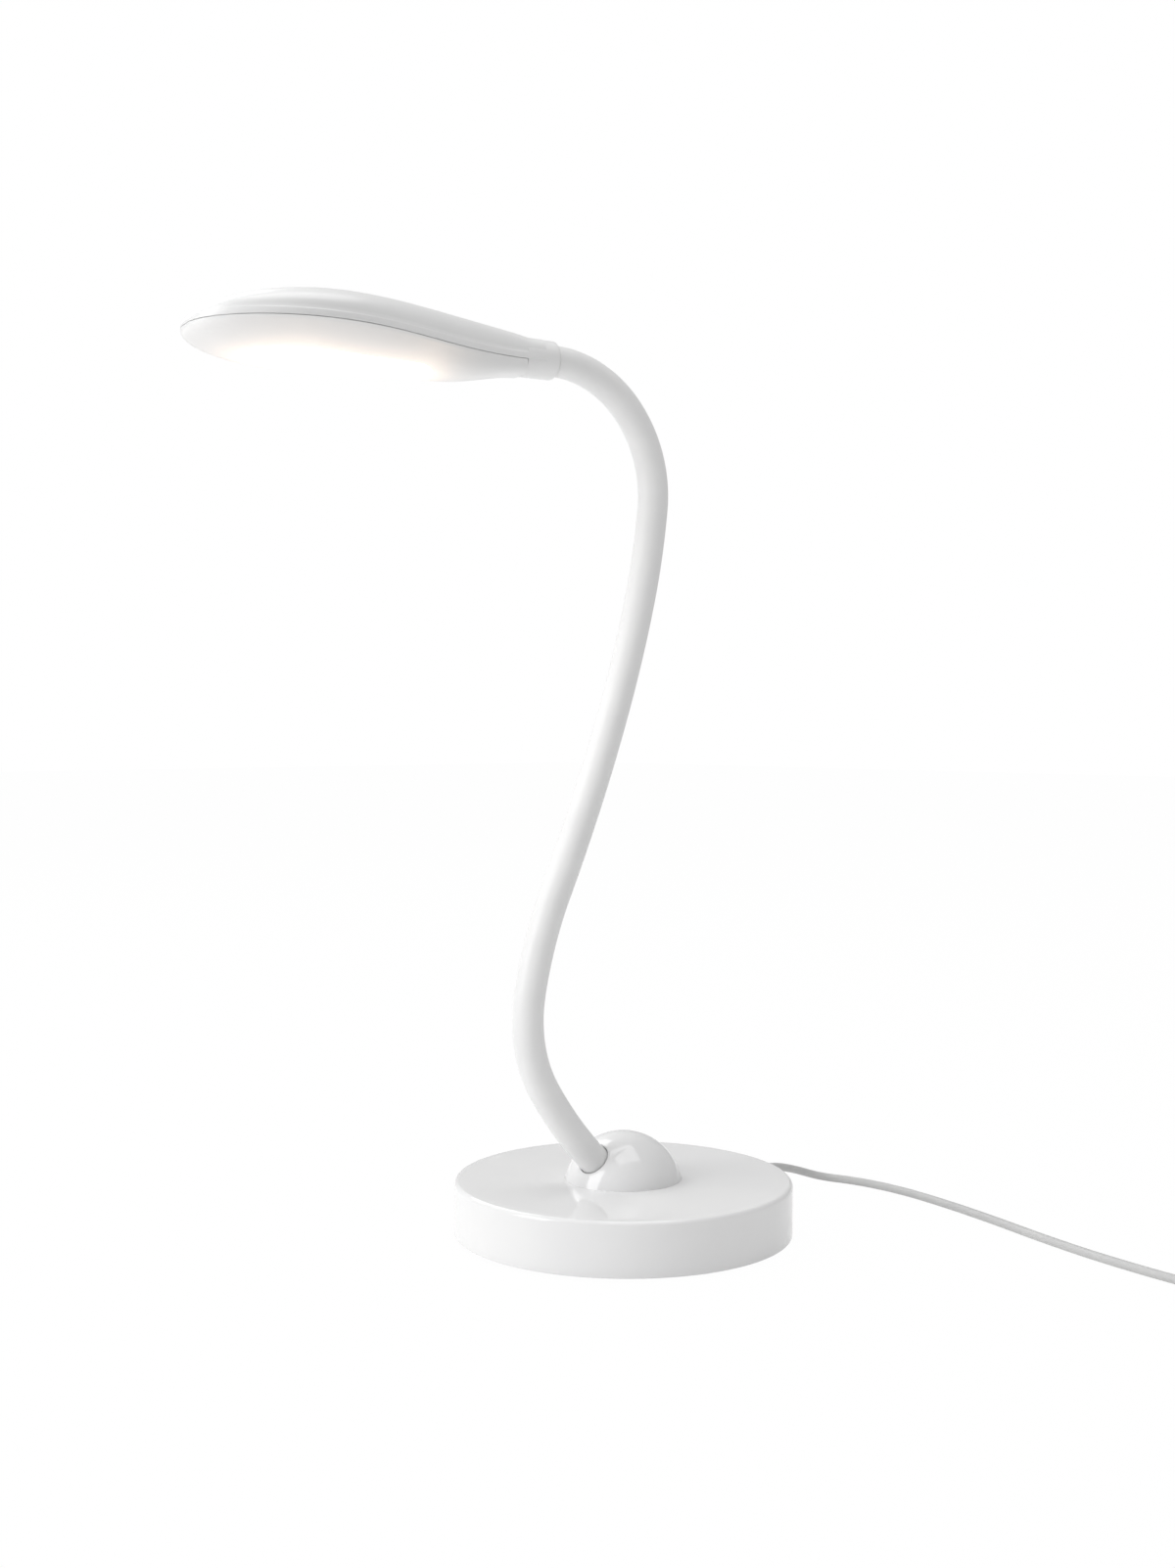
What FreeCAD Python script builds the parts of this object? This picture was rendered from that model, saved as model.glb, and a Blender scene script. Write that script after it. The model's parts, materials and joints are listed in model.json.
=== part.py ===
"""Gooseneck desk lamp, in millimetres.

Origin: centre of the foot pad's underside, on the table. +Z up, +X towards the head, and the cord
leaves at -X. The neck lies in the XZ plane up to its last bends, which turn the head towards -Y.
"""
import FreeCAD, Part
import math
import os
import Sketcher
from FreeCAD import Matrix, Placement, Rotation, Vector

doc = FreeCAD.newDocument("gooseneck_desk_lamp")

# Driving dimensions
SIZES = {
    # base
    "base_diameter": 130, "base_height": 21, "base_wall": 2.2, "base_rounding": 1.8, "base_lift": 0.8,
    "dome_radius": 23, "dome_sink": 5, "dome_wall": 2.4, "dome_lip": 1.4, "pad_diameter": 120, "pad_thickness": 1.2,
    "plate_thickness": 2, "plate_gap": 0.3, "ballast_diameter": 112, "ballast_thickness": 6,
    "ballast_bore": 16, "post_circle": 92, "post_diameter": 7, "post_pilot": 2.4, "post_gap": 0.4,
    "screw_length": 9,
    # driver board
    "board_length": 38, "board_width": 26, "board_thickness": 1.6, "board_inset": 36,
    "board_post": 5, "board_drop": 5.6,
    # neck
    "neck_diameter": 11.6, "neck_segment": 38.66, "sleeve_wall": 1.7, "sleeve_fit": 0.1,
    "tube_diameter": 8, "tube_bore": 3.4, "ball_diameter": 10, "ball_gap": 0.3, "joint_gap": 1.8,
    "wire_diameter": 2.4, "wire_gap": 1.2, "neck_entry": 22.5, "neck_rise": 42, "neck_turn": 14.7,
    "entry_gap": 0.35, "sleeve_stub": 2.5, "tube_stub": 15, "ferrule_wall": 0.8, "ferrule_fit": 0.05,
    "seat_radius": 9.5, "seat_depth": 17.6, "nut_across": 14, "nut_thickness": 4,
    # head
    "head_length": 142, "head_width": 62, "head_widest": 100, "head_peak": 85, "head_roll": 0.5,
    "collar_radius": 7.2, "collar_length": 12.4, "collar_depth": 8.5, "seam_drop": 1.8, "seam_gap": 0.2,
    "cover_height": 14.8, "cover_root": 9, "cover_wall": 1.8, "band_height": 2.4,
    "shell_depth": 9.3, "shell_root": 5.4, "shell_lean": 8, "shell_wall": 1.8,
    "window_far": 104, "window_far_radius": 19.5, "window_near": 65, "window_near_radius": 14,
    "diffuser_gap": 0.15, "diffuser_recess": 0.3, "frame_height": 4.4, "frame_wall": 1.6,
    "led_board_thickness": 1.2, "led_size": 2.8, "led_height": 0.7, "led_pitch": 9.5,
    "head_post": 5.6, "head_pilot": 1.8, "ring_nut_radius": 5.8, "ring_nut_thickness": 3,
    "ring_nut_gap": 0.3,
    # button
    "button_diameter": 9, "button_gap": 0.3, "button_place": 36, "button_travel": 0.8,
    "button_proud": 0.3, "switch_size": 6, "switch_height": 3.5, "switch_board_length": 20,
    "switch_board_width": 12, "switch_board_thickness": 1.2, "switch_post": 3,
    # cord
    "cord_diameter": 3.3, "cord_height": 11, "relief_length": 12, "relief_diameter": 7.2,
    "relief_tip": 4.6, "relief_gap": 0.05, "coil_mean_diameter": 36, "coil_columns": 3, "coil_layers": 4,
    "plug_width": 15.7, "plug_height": 8, "plug_body": 26, "plug_shell_length": 12,
    "plug_shell_width": 12, "plug_shell_height": 4.5, "plug_shell_wall": 0.4,
}

sheet = doc.addObject("Spreadsheet::Sheet", "Sizes")
for row, (alias, number) in enumerate(SIZES.items(), start=1):
    sheet.set(f"A{row}", alias)
    sheet.set(f"B{row}", str(number))
    sheet.setAlias(f"B{row}", alias)
doc.recompute()


class Size:
    """A length with its number and the sheet expression that gives it."""

    def __init__(self, number, text):
        self.number = float(number)
        self.text = text

    def _pair(self, other, sign):
        if not isinstance(other, Size):
            other = Size(other, repr(other))
        number = {
            "+": lambda a, b: a + b, "-": lambda a, b: a - b,
            "*": lambda a, b: a * b, "/": lambda a, b: a / b,
        }[sign](self.number, other.number)
        return Size(number, f"({self.text} {sign} {other.text})")

    def __add__(self, other):
        return self._pair(other, "+")

    def __sub__(self, other):
        return self._pair(other, "-")

    def __mul__(self, other):
        return self._pair(other, "*")

    def __truediv__(self, other):
        return self._pair(other, "/")

    def __float__(self):
        return self.number


def size(alias):
    return Size(sheet.get(alias), f"Sizes.{alias}")


def root(value):
    return Size(math.sqrt(value.number), f"sqrt({value.text})")


def bind(thing, **properties):
    """Ties an object's properties to sheet expressions."""
    for name, value in properties.items():
        if isinstance(value, Size):
            thing.setExpression(name, value.text)
        else:
            setattr(thing, name, value)
    return thing


# Primitives and booleans
def make(kind, name, place=None, **properties):
    thing = doc.addObject(kind, name)
    bind(thing, **properties)
    if place is not None:
        thing.Placement = place
    return thing


def cylinder(name, radius, height, place=None):
    return make("Part::Cylinder", name, place, Radius=radius, Height=height)


def block(name, length, width, height, place=None):
    return make("Part::Box", name, place, Length=length, Width=width, Height=height)


def fuse(name, *things):
    if len(things) == 1:
        return things[0]
    fused = doc.addObject("Part::MultiFuse", name)
    fused.Shapes = list(things)
    return fused


def cut(name, base, *tools):
    done = doc.addObject("Part::Cut", name)
    done.Base = base
    done.Tool = fuse(name + "_tools", *tools)
    return done


def common(name, first, second):
    done = doc.addObject("Part::Common", name)
    done.Base = first
    done.Tool = second
    return done


def feature(name, shape):
    done = doc.addObject("Part::Feature", name)
    done.Shape = shape
    return done


def at(x=0.0, y=0.0, z=0.0, turn=None):
    return Placement(Vector(float(x), float(y), float(z)), turn or Rotation())


nodes = {}


def node(label, thing, place=None):
    """Names a finished sub-part, moves it to its place and lists it."""
    thing.Label = label
    if place is not None:
        thing.Placement = place.multiply(thing.Placement)
    nodes[label] = thing
    return thing


ALONG_X = Rotation(Vector(0, 1, 0), 90)
ALONG_MINUS_X = Rotation(Vector(0, 1, 0), -90)
UPSIDE_DOWN = Rotation(Vector(1, 0, 0), 180)


# Sketches inside bodies
def origin_plane(body, role):
    return next(f for f in body.Origin.OriginFeatures if f.Role == role)


def sketch_on(body, role, name, offset=None):
    sketch = body.newObject("Sketcher::SketchObject", name)
    sketch.AttachmentSupport = [(origin_plane(body, role), "")]
    sketch.MapMode = "FlatFace"
    if offset is not None:
        sketch.setExpression("AttachmentOffset.Base.z", offset.text)
    return sketch


def pin_point(sketch, edge, end, x, y):
    """Holds one end of an edge at sheet-driven coordinates."""
    for kind, value, axis in (("DistanceX", x, -2), ("DistanceY", y, -1)):
        if float(value) == 0:
            sketch.addConstraint(Sketcher.Constraint("PointOnObject", edge, end, axis))
            continue
        index = sketch.addConstraint(Sketcher.Constraint(kind, -1, 1, edge, end, float(value)))
        if isinstance(value, Size):
            sketch.setExpression(f"Constraints[{index}]", value.text)


def outline(sketch, corners):
    """A closed outline. A corner is (x, y), or (x, y, radius, centre) when an arc leaves it."""
    count = len(corners)
    for i, corner in enumerate(corners):
        a = Vector(float(corner[0]), float(corner[1]), 0)
        b = Vector(float(corners[(i + 1) % count][0]), float(corners[(i + 1) % count][1]), 0)
        if len(corner) == 2:
            sketch.addGeometry(Part.LineSegment(a, b))
            continue
        radius, centre = corner[2], Vector(float(corner[3][0]), float(corner[3][1]), 0)
        middle = ((a + b) * 0.5 - centre).normalize() * float(radius) + centre
        sketch.addGeometry(Part.Arc(a, middle, b))
    for i, corner in enumerate(corners):
        start = end_at(sketch, i, corner)
        pin_point(sketch, i, start, corner[0], corner[1])
        nxt = (i + 1) % count
        sketch.addConstraint(
            Sketcher.Constraint("Coincident", i, 3 - start, nxt, end_at(sketch, nxt, corners[nxt])))
        if len(corner) > 2:
            index = sketch.addConstraint(Sketcher.Constraint("Radius", i, float(corner[2])))
            sketch.setExpression(f"Constraints[{index}]", corner[2].text)


def end_at(sketch, edge, corner):
    """Which end of an edge, 1 or 2, lies on a corner: an arc is stored anticlockwise."""
    start = sketch.getPoint(edge, 1)
    return 1 if start.distanceToPoint(Vector(float(corner[0]), float(corner[1]), 0)) < 1e-6 else 2


def ring(sketch, radius, x=0, y=0):
    """A circle with a driven radius and centre."""
    index = sketch.addGeometry(
        Part.Circle(Vector(float(x), float(y), 0), Vector(0, 0, 1), float(radius)))
    pin_point(sketch, index, 3, x, y)
    held = sketch.addConstraint(Sketcher.Constraint("Radius", index, float(radius)))
    sketch.setExpression(f"Constraints[{held}]", radius.text)


def revolved(name, corners):
    """A body turned from an outline in the XZ plane about Z."""
    body = doc.addObject("PartDesign::Body", name)
    sketch = sketch_on(body, "XZ_Plane", name + "_outline")
    outline(sketch, corners)
    turned = body.newObject("PartDesign::Revolution", name + "_turned")
    turned.Profile = sketch
    turned.ReferenceAxis = (sketch, ["V_Axis"])
    turned.Angle = 360
    return body


def padded_up(body, name, length, rings, offset=None, cut_out=False):
    """A pad or a pocket of some circles, upwards along Z."""
    sketch = sketch_on(body, "XY_Plane", name + "_sketch", offset)
    for circle in rings:
        ring(sketch, *circle)
    made = body.newObject("PartDesign::Pocket" if cut_out else "PartDesign::Pad", name)
    made.Profile = sketch
    made.setExpression("Length", length.text)
    made.Reversed = cut_out
    return made


def polar(body, name, original, count):
    pattern = body.newObject("PartDesign::PolarPattern", name)
    pattern.Originals = [original]
    pattern.Axis = (origin_plane(body, "Z_Axis"), [""])
    pattern.Angle = 360
    pattern.Occurrences = count
    body.Tip = pattern
    return pattern


# The neck's line, worked out from its bends
BENDS = [13.4, 46.2, 15.8, -3.2, -3.6, -4.8, -8.9, -44.4, -52.2]   # degrees, + leans back to -X
STRETCHES = len(BENDS)
TURN_AFTER = 7                                                      # joint where the plane turns
dome_centre = Vector(0, 0, float(size("base_height") - size("dome_sink")))


def turned(vector, axis, degrees):
    return Rotation(axis, degrees).multVec(vector)


class Stretch:
    """One arc of the neck: its ends, directions, bend and placement of a ring sector."""

    def __init__(self, start, ahead, side, bend):
        self.bend = abs(bend)
        self.start, self.ahead = start, ahead
        self.inward = (ahead.cross(side) if bend > 0 else side.cross(ahead)).normalize()
        self.radius = float(size("neck_segment")) / math.radians(self.bend)
        axis = ahead.cross(self.inward)
        self.end_ahead = turned(ahead, axis, self.bend)
        centre = start + self.inward * self.radius
        self.end = centre - turned(self.inward, axis, self.bend) * self.radius
        out = self.inward * -1
        frame = Matrix(out.x, ahead.x, axis.x, centre.x, out.y, ahead.y, axis.y, centre.y,
                       out.z, ahead.z, axis.z, centre.z, 0, 0, 0, 1)
        self.place = Placement(frame)


def neck_line():
    ahead = turned(Vector(1, 0, 0), Vector(0, 1, 0), -float(size("neck_rise")))
    side = Vector(0, 1, 0)
    start = dome_centre + ahead * float(size("neck_entry"))
    stretches = []
    for i, bend in enumerate(BENDS):
        if i == TURN_AFTER:
            side = turned(side, ahead, -float(size("neck_turn")))
        stretches.append(Stretch(start, ahead, side, bend))
        start, ahead = stretches[-1].end, stretches[-1].end_ahead
    return stretches, side


stretches, head_side = neck_line()
head_ahead = stretches[-1].end_ahead


def frame_at(origin, x_axis, y_axis):
    z_axis = x_axis.cross(y_axis)
    return Placement(Matrix(x_axis.x, y_axis.x, z_axis.x, origin.x, x_axis.y, y_axis.y, z_axis.y, origin.y,
                            x_axis.z, y_axis.z, z_axis.z, origin.z, 0, 0, 0, 1))


# Head frame: origin at the collar's mouth, +X to the tip, +Z up. Dome frame: +Z out along the neck.
head_place = frame_at(stretches[-1].end, head_ahead, head_side).multiply(
    Placement(Vector(), Rotation(Vector(1, 0, 0), float(size("head_roll")))))
dome_place = Placement(dome_centre, Rotation(Vector(0, 0, 1), stretches[0].ahead))


def arc_pipe(name, stretch_number, radius, from_start, from_end):
    """A ring sector along a stretch. The two ends are lengths left off, or added where negative."""
    stretch = stretches[stretch_number]
    degree = size("neck_segment") / stretch.bend
    pipe = make("Part::Torus", name, Radius1=degree * 180 / math.pi, Radius2=radius)
    bind(pipe, Angle3=Size(1, "1") * stretch.bend - (from_start + from_end) / degree)
    pipe.Placement = Placement(Vector(), Rotation(Vector(0, 0, 1), float(from_start / degree)))
    return pipe


def ball(name, radius, stretch_number, at_end):
    stretch = stretches[stretch_number]
    angle = math.radians(stretch.bend if at_end else 0)
    centre = at(stretch.radius * math.cos(angle), stretch.radius * math.sin(angle))
    return make("Part::Sphere", name, centre, Radius=radius)


def stub(name, radius, length, at_end, number, overlap=0.0):
    """A straight pipe that carries a stretch on past its first or last end."""
    stretch = stretches[number]
    angle = stretch.bend if at_end else 0
    spot = Vector(stretch.radius * math.cos(math.radians(angle)),
                  stretch.radius * math.sin(math.radians(angle)), 0)
    way = Vector(-math.sin(math.radians(angle)), math.cos(math.radians(angle)), 0)
    if not at_end:
        way = way * -1
    place = Placement(spot - way * overlap, Rotation(Vector(0, 0, 1), way))
    return cylinder(name, radius, length + overlap, place)


neck_radius = size("neck_diameter") / 2
sleeve_bore = neck_radius - size("sleeve_wall")
tube_radius = size("tube_diameter") / 2
tube_bore = size("tube_bore") / 2
ball_radius = size("ball_diameter") / 2
socket_radius = ball_radius + size("ball_gap")
NONE = Size(0, "0")
OVER = Size(0.5, "0.5")


def make_neck_stretch(i):
    """Sleeve, steel tube and wire of one stretch."""
    first, last = i == 0, i == STRETCHES - 1
    label = str(i + 1)
    gap = size("joint_gap")
    start, end = (NONE if first else gap), (NONE if last else gap)
    skin = [arc_pipe("sleeve_out_" + label, i, neck_radius, start, end)]
    hole = [arc_pipe("sleeve_in_" + label, i, sleeve_bore, NONE if first else start - OVER,
                     NONE if last else end - OVER)]
    tube = [arc_pipe("tube_out_" + label, i, tube_radius, NONE, NONE)]
    bore = [arc_pipe("tube_in_" + label, i, tube_bore, NONE if first else OVER * -1,
                     NONE if last else (ball_radius + 1) * -1)]
    wire = [arc_pipe("wire_" + label, i, size("wire_diameter") / 2,
                     NONE if first else socket_radius + 0.1, NONE if last else size("wire_gap"))]
    if first:
        skin.append(stub("sleeve_stub_out", neck_radius, size("sleeve_stub"), False, i))
        hole.append(stub("sleeve_stub_in", sleeve_bore, size("sleeve_stub") + 1, False, i))
        tube.append(stub("tube_stub_out", tube_radius, size("tube_stub"), False, i))
        bore.append(stub("tube_stub_in", tube_bore, size("tube_stub") + 1, False, i))
        wire.append(stub("wire_stub", size("wire_diameter") / 2, size("tube_stub"), False, i))
    if last:
        skin.append(stub("sleeve_tail_out", neck_radius, size("collar_depth") - 0.2, True, i))
        hole.append(stub("sleeve_tail_in", sleeve_bore, size("collar_depth") + 1, True, i))
        tube.append(stub("tube_tail_out", tube_radius, size("collar_depth") + 9, True, i))
        bore.append(stub("tube_tail_in", tube_bore, size("collar_depth") + 10, True, i))
        wire.append(stub("wire_tail", size("wire_diameter") / 2, size("collar_depth") + 9, True, i))
    else:
        tube.append(ball("ball_" + label, ball_radius, i, True))
        hole.append(ball("ball_way_" + label, socket_radius, i, True))
    if not first:
        bore.append(ball("socket_" + label, socket_radius, i, False))
        hole.append(ball("socket_way_" + label, socket_radius, i, False))
    place = stretches[i].place
    node("neck_sleeve_" + label, cut("sleeve_" + label, fuse("skin_" + label, *skin), *hole), place)
    node("neck_tube_" + label, cut("tube_" + label, fuse("steel_" + label, *tube), *bore), place)
    node("neck_wire_" + label, fuse("core_" + label, *wire), place)


for number in range(STRETCHES):
    make_neck_stretch(number)


# Base
base_radius = size("base_diameter") / 2
top = size("base_height")
inner_top = top - size("base_wall")
dome_height = top - size("dome_sink")
dome_radius = size("dome_radius")
dome_inner = dome_radius - size("dome_wall")
dome_foot = root(dome_radius * dome_radius - size("dome_sink") * size("dome_sink"))
plate_low = size("pad_thickness")
plate_high = plate_low + size("plate_thickness")
ballast_high = plate_high + size("ballast_thickness")
post_place = size("post_circle") / 2 / math.sqrt(2)


def make_base_cover():
    """Round cover with its four screw posts and the two posts of the driver board."""
    rounding = size("base_rounding")
    hole = dome_foot + 0.05
    body = revolved("cover_shell", [
        (hole, top), (base_radius - rounding, top, rounding, (base_radius - rounding, top - rounding)),
        (base_radius, top - rounding), (base_radius, size("base_lift")),
        (base_radius - size("base_wall"), size("base_lift")),
        (base_radius - size("base_wall"), inner_top), (hole, inner_top)])
    post = padded_up(body, "cover_post", inner_top + 0.5 - plate_high,
                     [(size("post_diameter") / 2, post_place, post_place),
                      (size("post_pilot") / 2, post_place, post_place)],
                     plate_high)
    polar(body, "cover_posts", post, 4)
    cord_hole = cylinder("cord_hole", size("relief_diameter") / 2 + size("relief_gap"),
                         size("base_wall") * 3,
                         at(base_radius * -1 - size("base_wall"), 0, size("cord_height"), ALONG_X))
    board_posts = [
        cylinder(f"board_post_{i}", size("board_post") / 2, size("board_drop") + 0.5,
                 at(x, y, inner_top - size("board_drop")))
        for i, (x, y) in enumerate(board_post_spots())]
    node("base_cover", cut("cover_cut", fuse("cover_with_posts", body, *board_posts), cord_hole))


def make_dome():
    """Dome in the cover's middle: a lip under the cover, and a flat seat for the neck's nut."""
    lip_low = inner_top - size("dome_lip")
    rise = dome_height - lip_low
    inner_foot = root(dome_inner * dome_inner - rise * rise)
    lip = dome_foot + size("dome_lip")
    centre = (0, dome_height)
    body = revolved("dome_shell", [
        (dome_foot, top), (dome_foot, inner_top), (lip, inner_top), (lip, lip_low),
        (inner_foot, lip_low, dome_inner, centre), (0, dome_height + dome_inner),
        (0, dome_height + dome_radius, dome_radius, centre)])
    hole_radius = neck_radius + size("entry_gap")
    seat_length = size("neck_entry") - size("seat_depth") - 0.6
    seat = cylinder("seat", size("seat_radius"), seat_length, dome_place.multiply(at(z=size("seat_depth"))))
    entry = cylinder("entry", hole_radius, size("neck_entry"),
                     dome_place.multiply(at(z=size("neck_entry") - size("sleeve_stub") - 0.1)))
    bolt_way = cylinder("bolt_way", ferrule_radius + size("ferrule_fit"), size("neck_entry"),
                        dome_place.multiply(at(z=size("seat_depth") - 0.5)))
    node("base_dome", cut("dome_cut", fuse("dome_with_seat", body, seat), entry, bolt_way))


ferrule_radius = tube_radius + size("ferrule_fit") + size("ferrule_wall")


def board_post_spots():
    reach = size("board_length") / 2 - size("board_post") / 2
    middle = size("board_inset") * -1
    side = size("board_width") / 2 - size("board_post") / 2
    return [(middle - reach, side), (middle + reach - 7, side * -1)]


def make_base_floor():
    """Foot pad, plate, ballast and the four screws that close the base."""
    node("foot_pad", cylinder("pad", size("pad_diameter") / 2, size("pad_thickness")))
    plate = doc.addObject("PartDesign::Body", "plate_body")
    plate_radius = base_radius - size("base_wall") - size("plate_gap")
    padded_up(plate, "plate_disc", size("plate_thickness"), [(plate_radius,)], plate_low)
    hole = padded_up(plate, "plate_hole", size("plate_thickness") + 1,
                     [(size("post_pilot") / 2 + 0.3, post_place, post_place)], plate_low - 0.5, cut_out=True)
    polar(plate, "plate_holes", hole, 4)
    node("base_plate", plate)
    ballast = doc.addObject("PartDesign::Body", "ballast_body")
    padded_up(ballast, "ballast_disc", size("ballast_thickness"), [(size("ballast_diameter") / 2,)],
              plate_high)
    relief = size("post_diameter") / 2 + size("post_gap")
    ways = padded_up(ballast, "ballast_way", size("ballast_thickness") + 1,
                     [(relief, post_place, post_place)], plate_high - 0.5, cut_out=True)
    polar(ballast, "ballast_ways", ways, 4)
    middle = padded_up(ballast, "ballast_middle", size("ballast_thickness") + 1,
                       [(size("ballast_bore") / 2,)], plate_high - 0.5, cut_out=True)
    ballast.Tip = middle
    node("ballast_weight", ballast)
    node("base_screws", fuse("screws", *[base_screw(quarter) for quarter in range(4)]))


def base_screw(quarter):
    spot = turned(Vector(float(post_place), float(post_place), 0), Vector(0, 0, 1), 90 * quarter)
    shank = size("post_pilot") / 2 - 0.05
    return cylinder(f"screw_shank_{quarter}", shank, size("screw_length"), at(spot.x, spot.y, plate_low))


def make_driver():
    """Board under the cover's two posts, with the parts that feed the lamp."""
    low = inner_top - size("board_drop") - size("board_thickness")
    middle = size("board_inset") * -1
    board = block("board", size("board_length"), size("board_width"), size("board_thickness"),
                  at(middle - size("board_length") / 2, (size("board_width") / 2) * -1, low))
    node("driver_board", board)
    high = low + size("board_thickness")
    middle_x = float(middle)
    parts = [
        cylinder("capacitor", 2.6, 5, at(middle_x - 6, -6, high)),
        cylinder("inductor", 3.2, 3.2, at(middle_x + 4, 5, high)),
        block("chip", 5, 4, 1.5, at(middle_x - 3, 1, high)),
        block("socket_in", 5, 7.5, 4, at(middle_x - 17, -5, high)),
        block("socket_out", 5, 6, 4, at(middle_x + 13.5, 0.5, high)),
    ]
    node("driver_parts", fuse("parts_on_board", *parts))


def make_neck_clamp():
    """Threaded ferrule on the tube's lower end and the nut that pulls it onto the dome's seat."""
    bore = tube_radius + size("ferrule_fit")
    low = size("neck_entry") - size("tube_stub") + 1
    length = size("neck_entry") - size("sleeve_stub") - 0.3 - low
    ferrule = cut("ferrule", cylinder("ferrule_out", ferrule_radius, length, at(z=low)),
                  cylinder("ferrule_in", bore, length + 2, at(z=low - 1)))
    node("neck_ferrule", ferrule, dome_place)
    nut = cut("nut", hexagon("nut_out", size("nut_across"), size("nut_thickness"),
                             size("seat_depth") - size("nut_thickness")),
              cylinder("nut_in", ferrule_radius + size("ferrule_fit"), size("nut_thickness") + 2,
                       at(z=size("seat_depth") - size("nut_thickness") - 1)))
    node("neck_nut", nut, dome_place)


def hexagon(name, across, height, low):
    return make("Part::Prism", name, at(z=low), Polygon=6, Circumradius=across / math.sqrt(3), Height=height)


# Routes of wires and cords
def route_wire(points):
    """Straight runs joined by tangent arcs, each as large as its two runs allow."""
    edges, radii = [], []
    reached = points[0]
    for a, b, c in zip(points, points[1:], points[2:]):
        back, onward = (a - b), (c - b)
        shorter = min(back.Length, onward.Length)
        turn = math.pi - back.getAngle(onward)
        radius = 0.45 * shorter / math.tan(turn / 2)
        radii.append(radius)
        u, v = Vector(back).normalize(), Vector(onward).normalize()
        first, last = b + u * (0.45 * shorter), b + v * (0.45 * shorter)
        inward = (u + v).normalize()
        middle = b + inward * (radius / math.cos(turn / 2) - radius)
        edges.append(Part.LineSegment(reached, first).toShape())
        edges.append(Part.Arc(first, middle, last).toShape())
        reached = last
    edges.append(Part.LineSegment(reached, points[-1]).toShape())
    return Part.Wire(edges), radii


def tube_along(name, points, diameter):
    """A round tube along a route, its volume compared with its section times its length."""
    line, radii = route_wire(points)
    start = Part.Circle(points[0], points[1] - points[0], diameter / 2)
    solid = line.makePipeShell([Part.Wire(start.toShape())], True, False)
    expected = math.pi * diameter ** 2 / 4 * line.Length
    print(f"{name}: length {line.Length:.1f}, volume {solid.Volume / expected:.4f} of section times length")
    print(f"{name}: radii " + ", ".join(f"{r:.0f}" for r in radii))
    return feature(name, solid)


def at_floor(x, y):
    """A point of the cord where it lies on the table."""
    return Vector(x, y, float(size("cord_diameter")) / 2 + 0.1)


cord_exit = Vector(-float(base_radius + size("relief_length")), 0, float(size("cord_height")))
coil_middle = Vector(-66, 228, 0)
coil_ring = float(size("coil_mean_diameter")) / 2


def cord_points():
    """The free cord: straight out of the base, down to the table, and round to the coil."""
    out = cord_exit
    return [
        out, out + Vector(-11, 0, 0), Vector(-102, 0.5, 7.8), Vector(-116, 5, 2.6), at_floor(-124, 18),
        at_floor(-124.5, 40), at_floor(-119.5, 66), at_floor(-112, 93), at_floor(-103, 120),
        at_floor(-95, 149), at_floor(-89, 183.5), coil_entry(),
    ]


def coil_entry():
    """Where the cord meets the coil's side, tangent to its outer turn."""
    outer = coil_ring + float(size("cord_diameter")) * float(size("coil_columns")) / 2
    return at_floor(coil_middle.x - outer + float(size("cord_diameter")) / 2, coil_middle.y - 12.1)


def make_cord():
    """Strain relief, the tail inside the base, and the free cord."""
    radius = size("cord_diameter") / 2
    relief_root = size("base_wall") + 2
    nose = make("Part::Cone", "relief_nose", at(base_radius * -1, 0, size("cord_height"), ALONG_MINUS_X),
                Radius1=size("relief_diameter") / 2, Radius2=size("relief_tip") / 2,
                Height=size("relief_length"))
    neck = cylinder("relief_neck", size("relief_diameter") / 2, relief_root,
                    at(base_radius * -1, 0, size("cord_height"), ALONG_X))
    flange = cylinder("relief_flange", size("relief_diameter") / 2 + 1.4, 1.6,
                      at(base_radius * -1 + size("base_wall") + 0.3, 0, size("cord_height"), ALONG_X))
    way = cylinder("relief_way", radius + size("relief_gap"), size("relief_length") + relief_root + 2,
                   at(base_radius * -1 + relief_root + 1, 0, size("cord_height"), ALONG_MINUS_X))
    node("strain_relief", cut("relief", fuse("relief_solid", nose, neck, flange), way))
    tail = cylinder("tail", radius, base_radius + size("relief_length") + board_edge(),
                    at(base_radius * -1 - size("relief_length"), 0, size("cord_height"), ALONG_X))
    node("cord_tail", tail)
    free = tube_along("free_cord", cord_points(), float(size("cord_diameter")))
    node("cord", free)


def board_edge():
    return size("board_inset") * -1 - size("board_length") / 2


def make_coil():
    """The put-away length as one closed ring, its tie, and the plug lying on it."""
    diameter = size("cord_diameter")
    wide, high = diameter * size("coil_columns"), diameter * size("coil_layers")
    middle = size("coil_mean_diameter") / 2
    spot = at(coil_middle.x, coil_middle.y, 0.1)
    ring_solid = cut("coil_ring", cylinder("coil_out", middle + wide / 2, high, spot),
                     cylinder("coil_in", middle - wide / 2, high + 2, at(coil_middle.x, coil_middle.y, -1)))
    node("cord_coil", ring_solid)
    strap, across, slack = 1.0, 7.0, 0.6
    inside = coil_middle.x + float(middle - wide / 2) - slack
    outer = block("tie_out", wide + slack + 0.1 + strap * 2, Size(across, repr(across)), high + 0.2 + strap,
                  at(inside - strap, coil_middle.y - across / 2, 0))
    inner = block("tie_in", wide + slack + 0.1, Size(across + 2, repr(across + 2)), high + 1.2,
                  at(inside, coil_middle.y - across / 2 - 1, -1))
    node("cord_tie", cut("tie", outer, inner))


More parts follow.
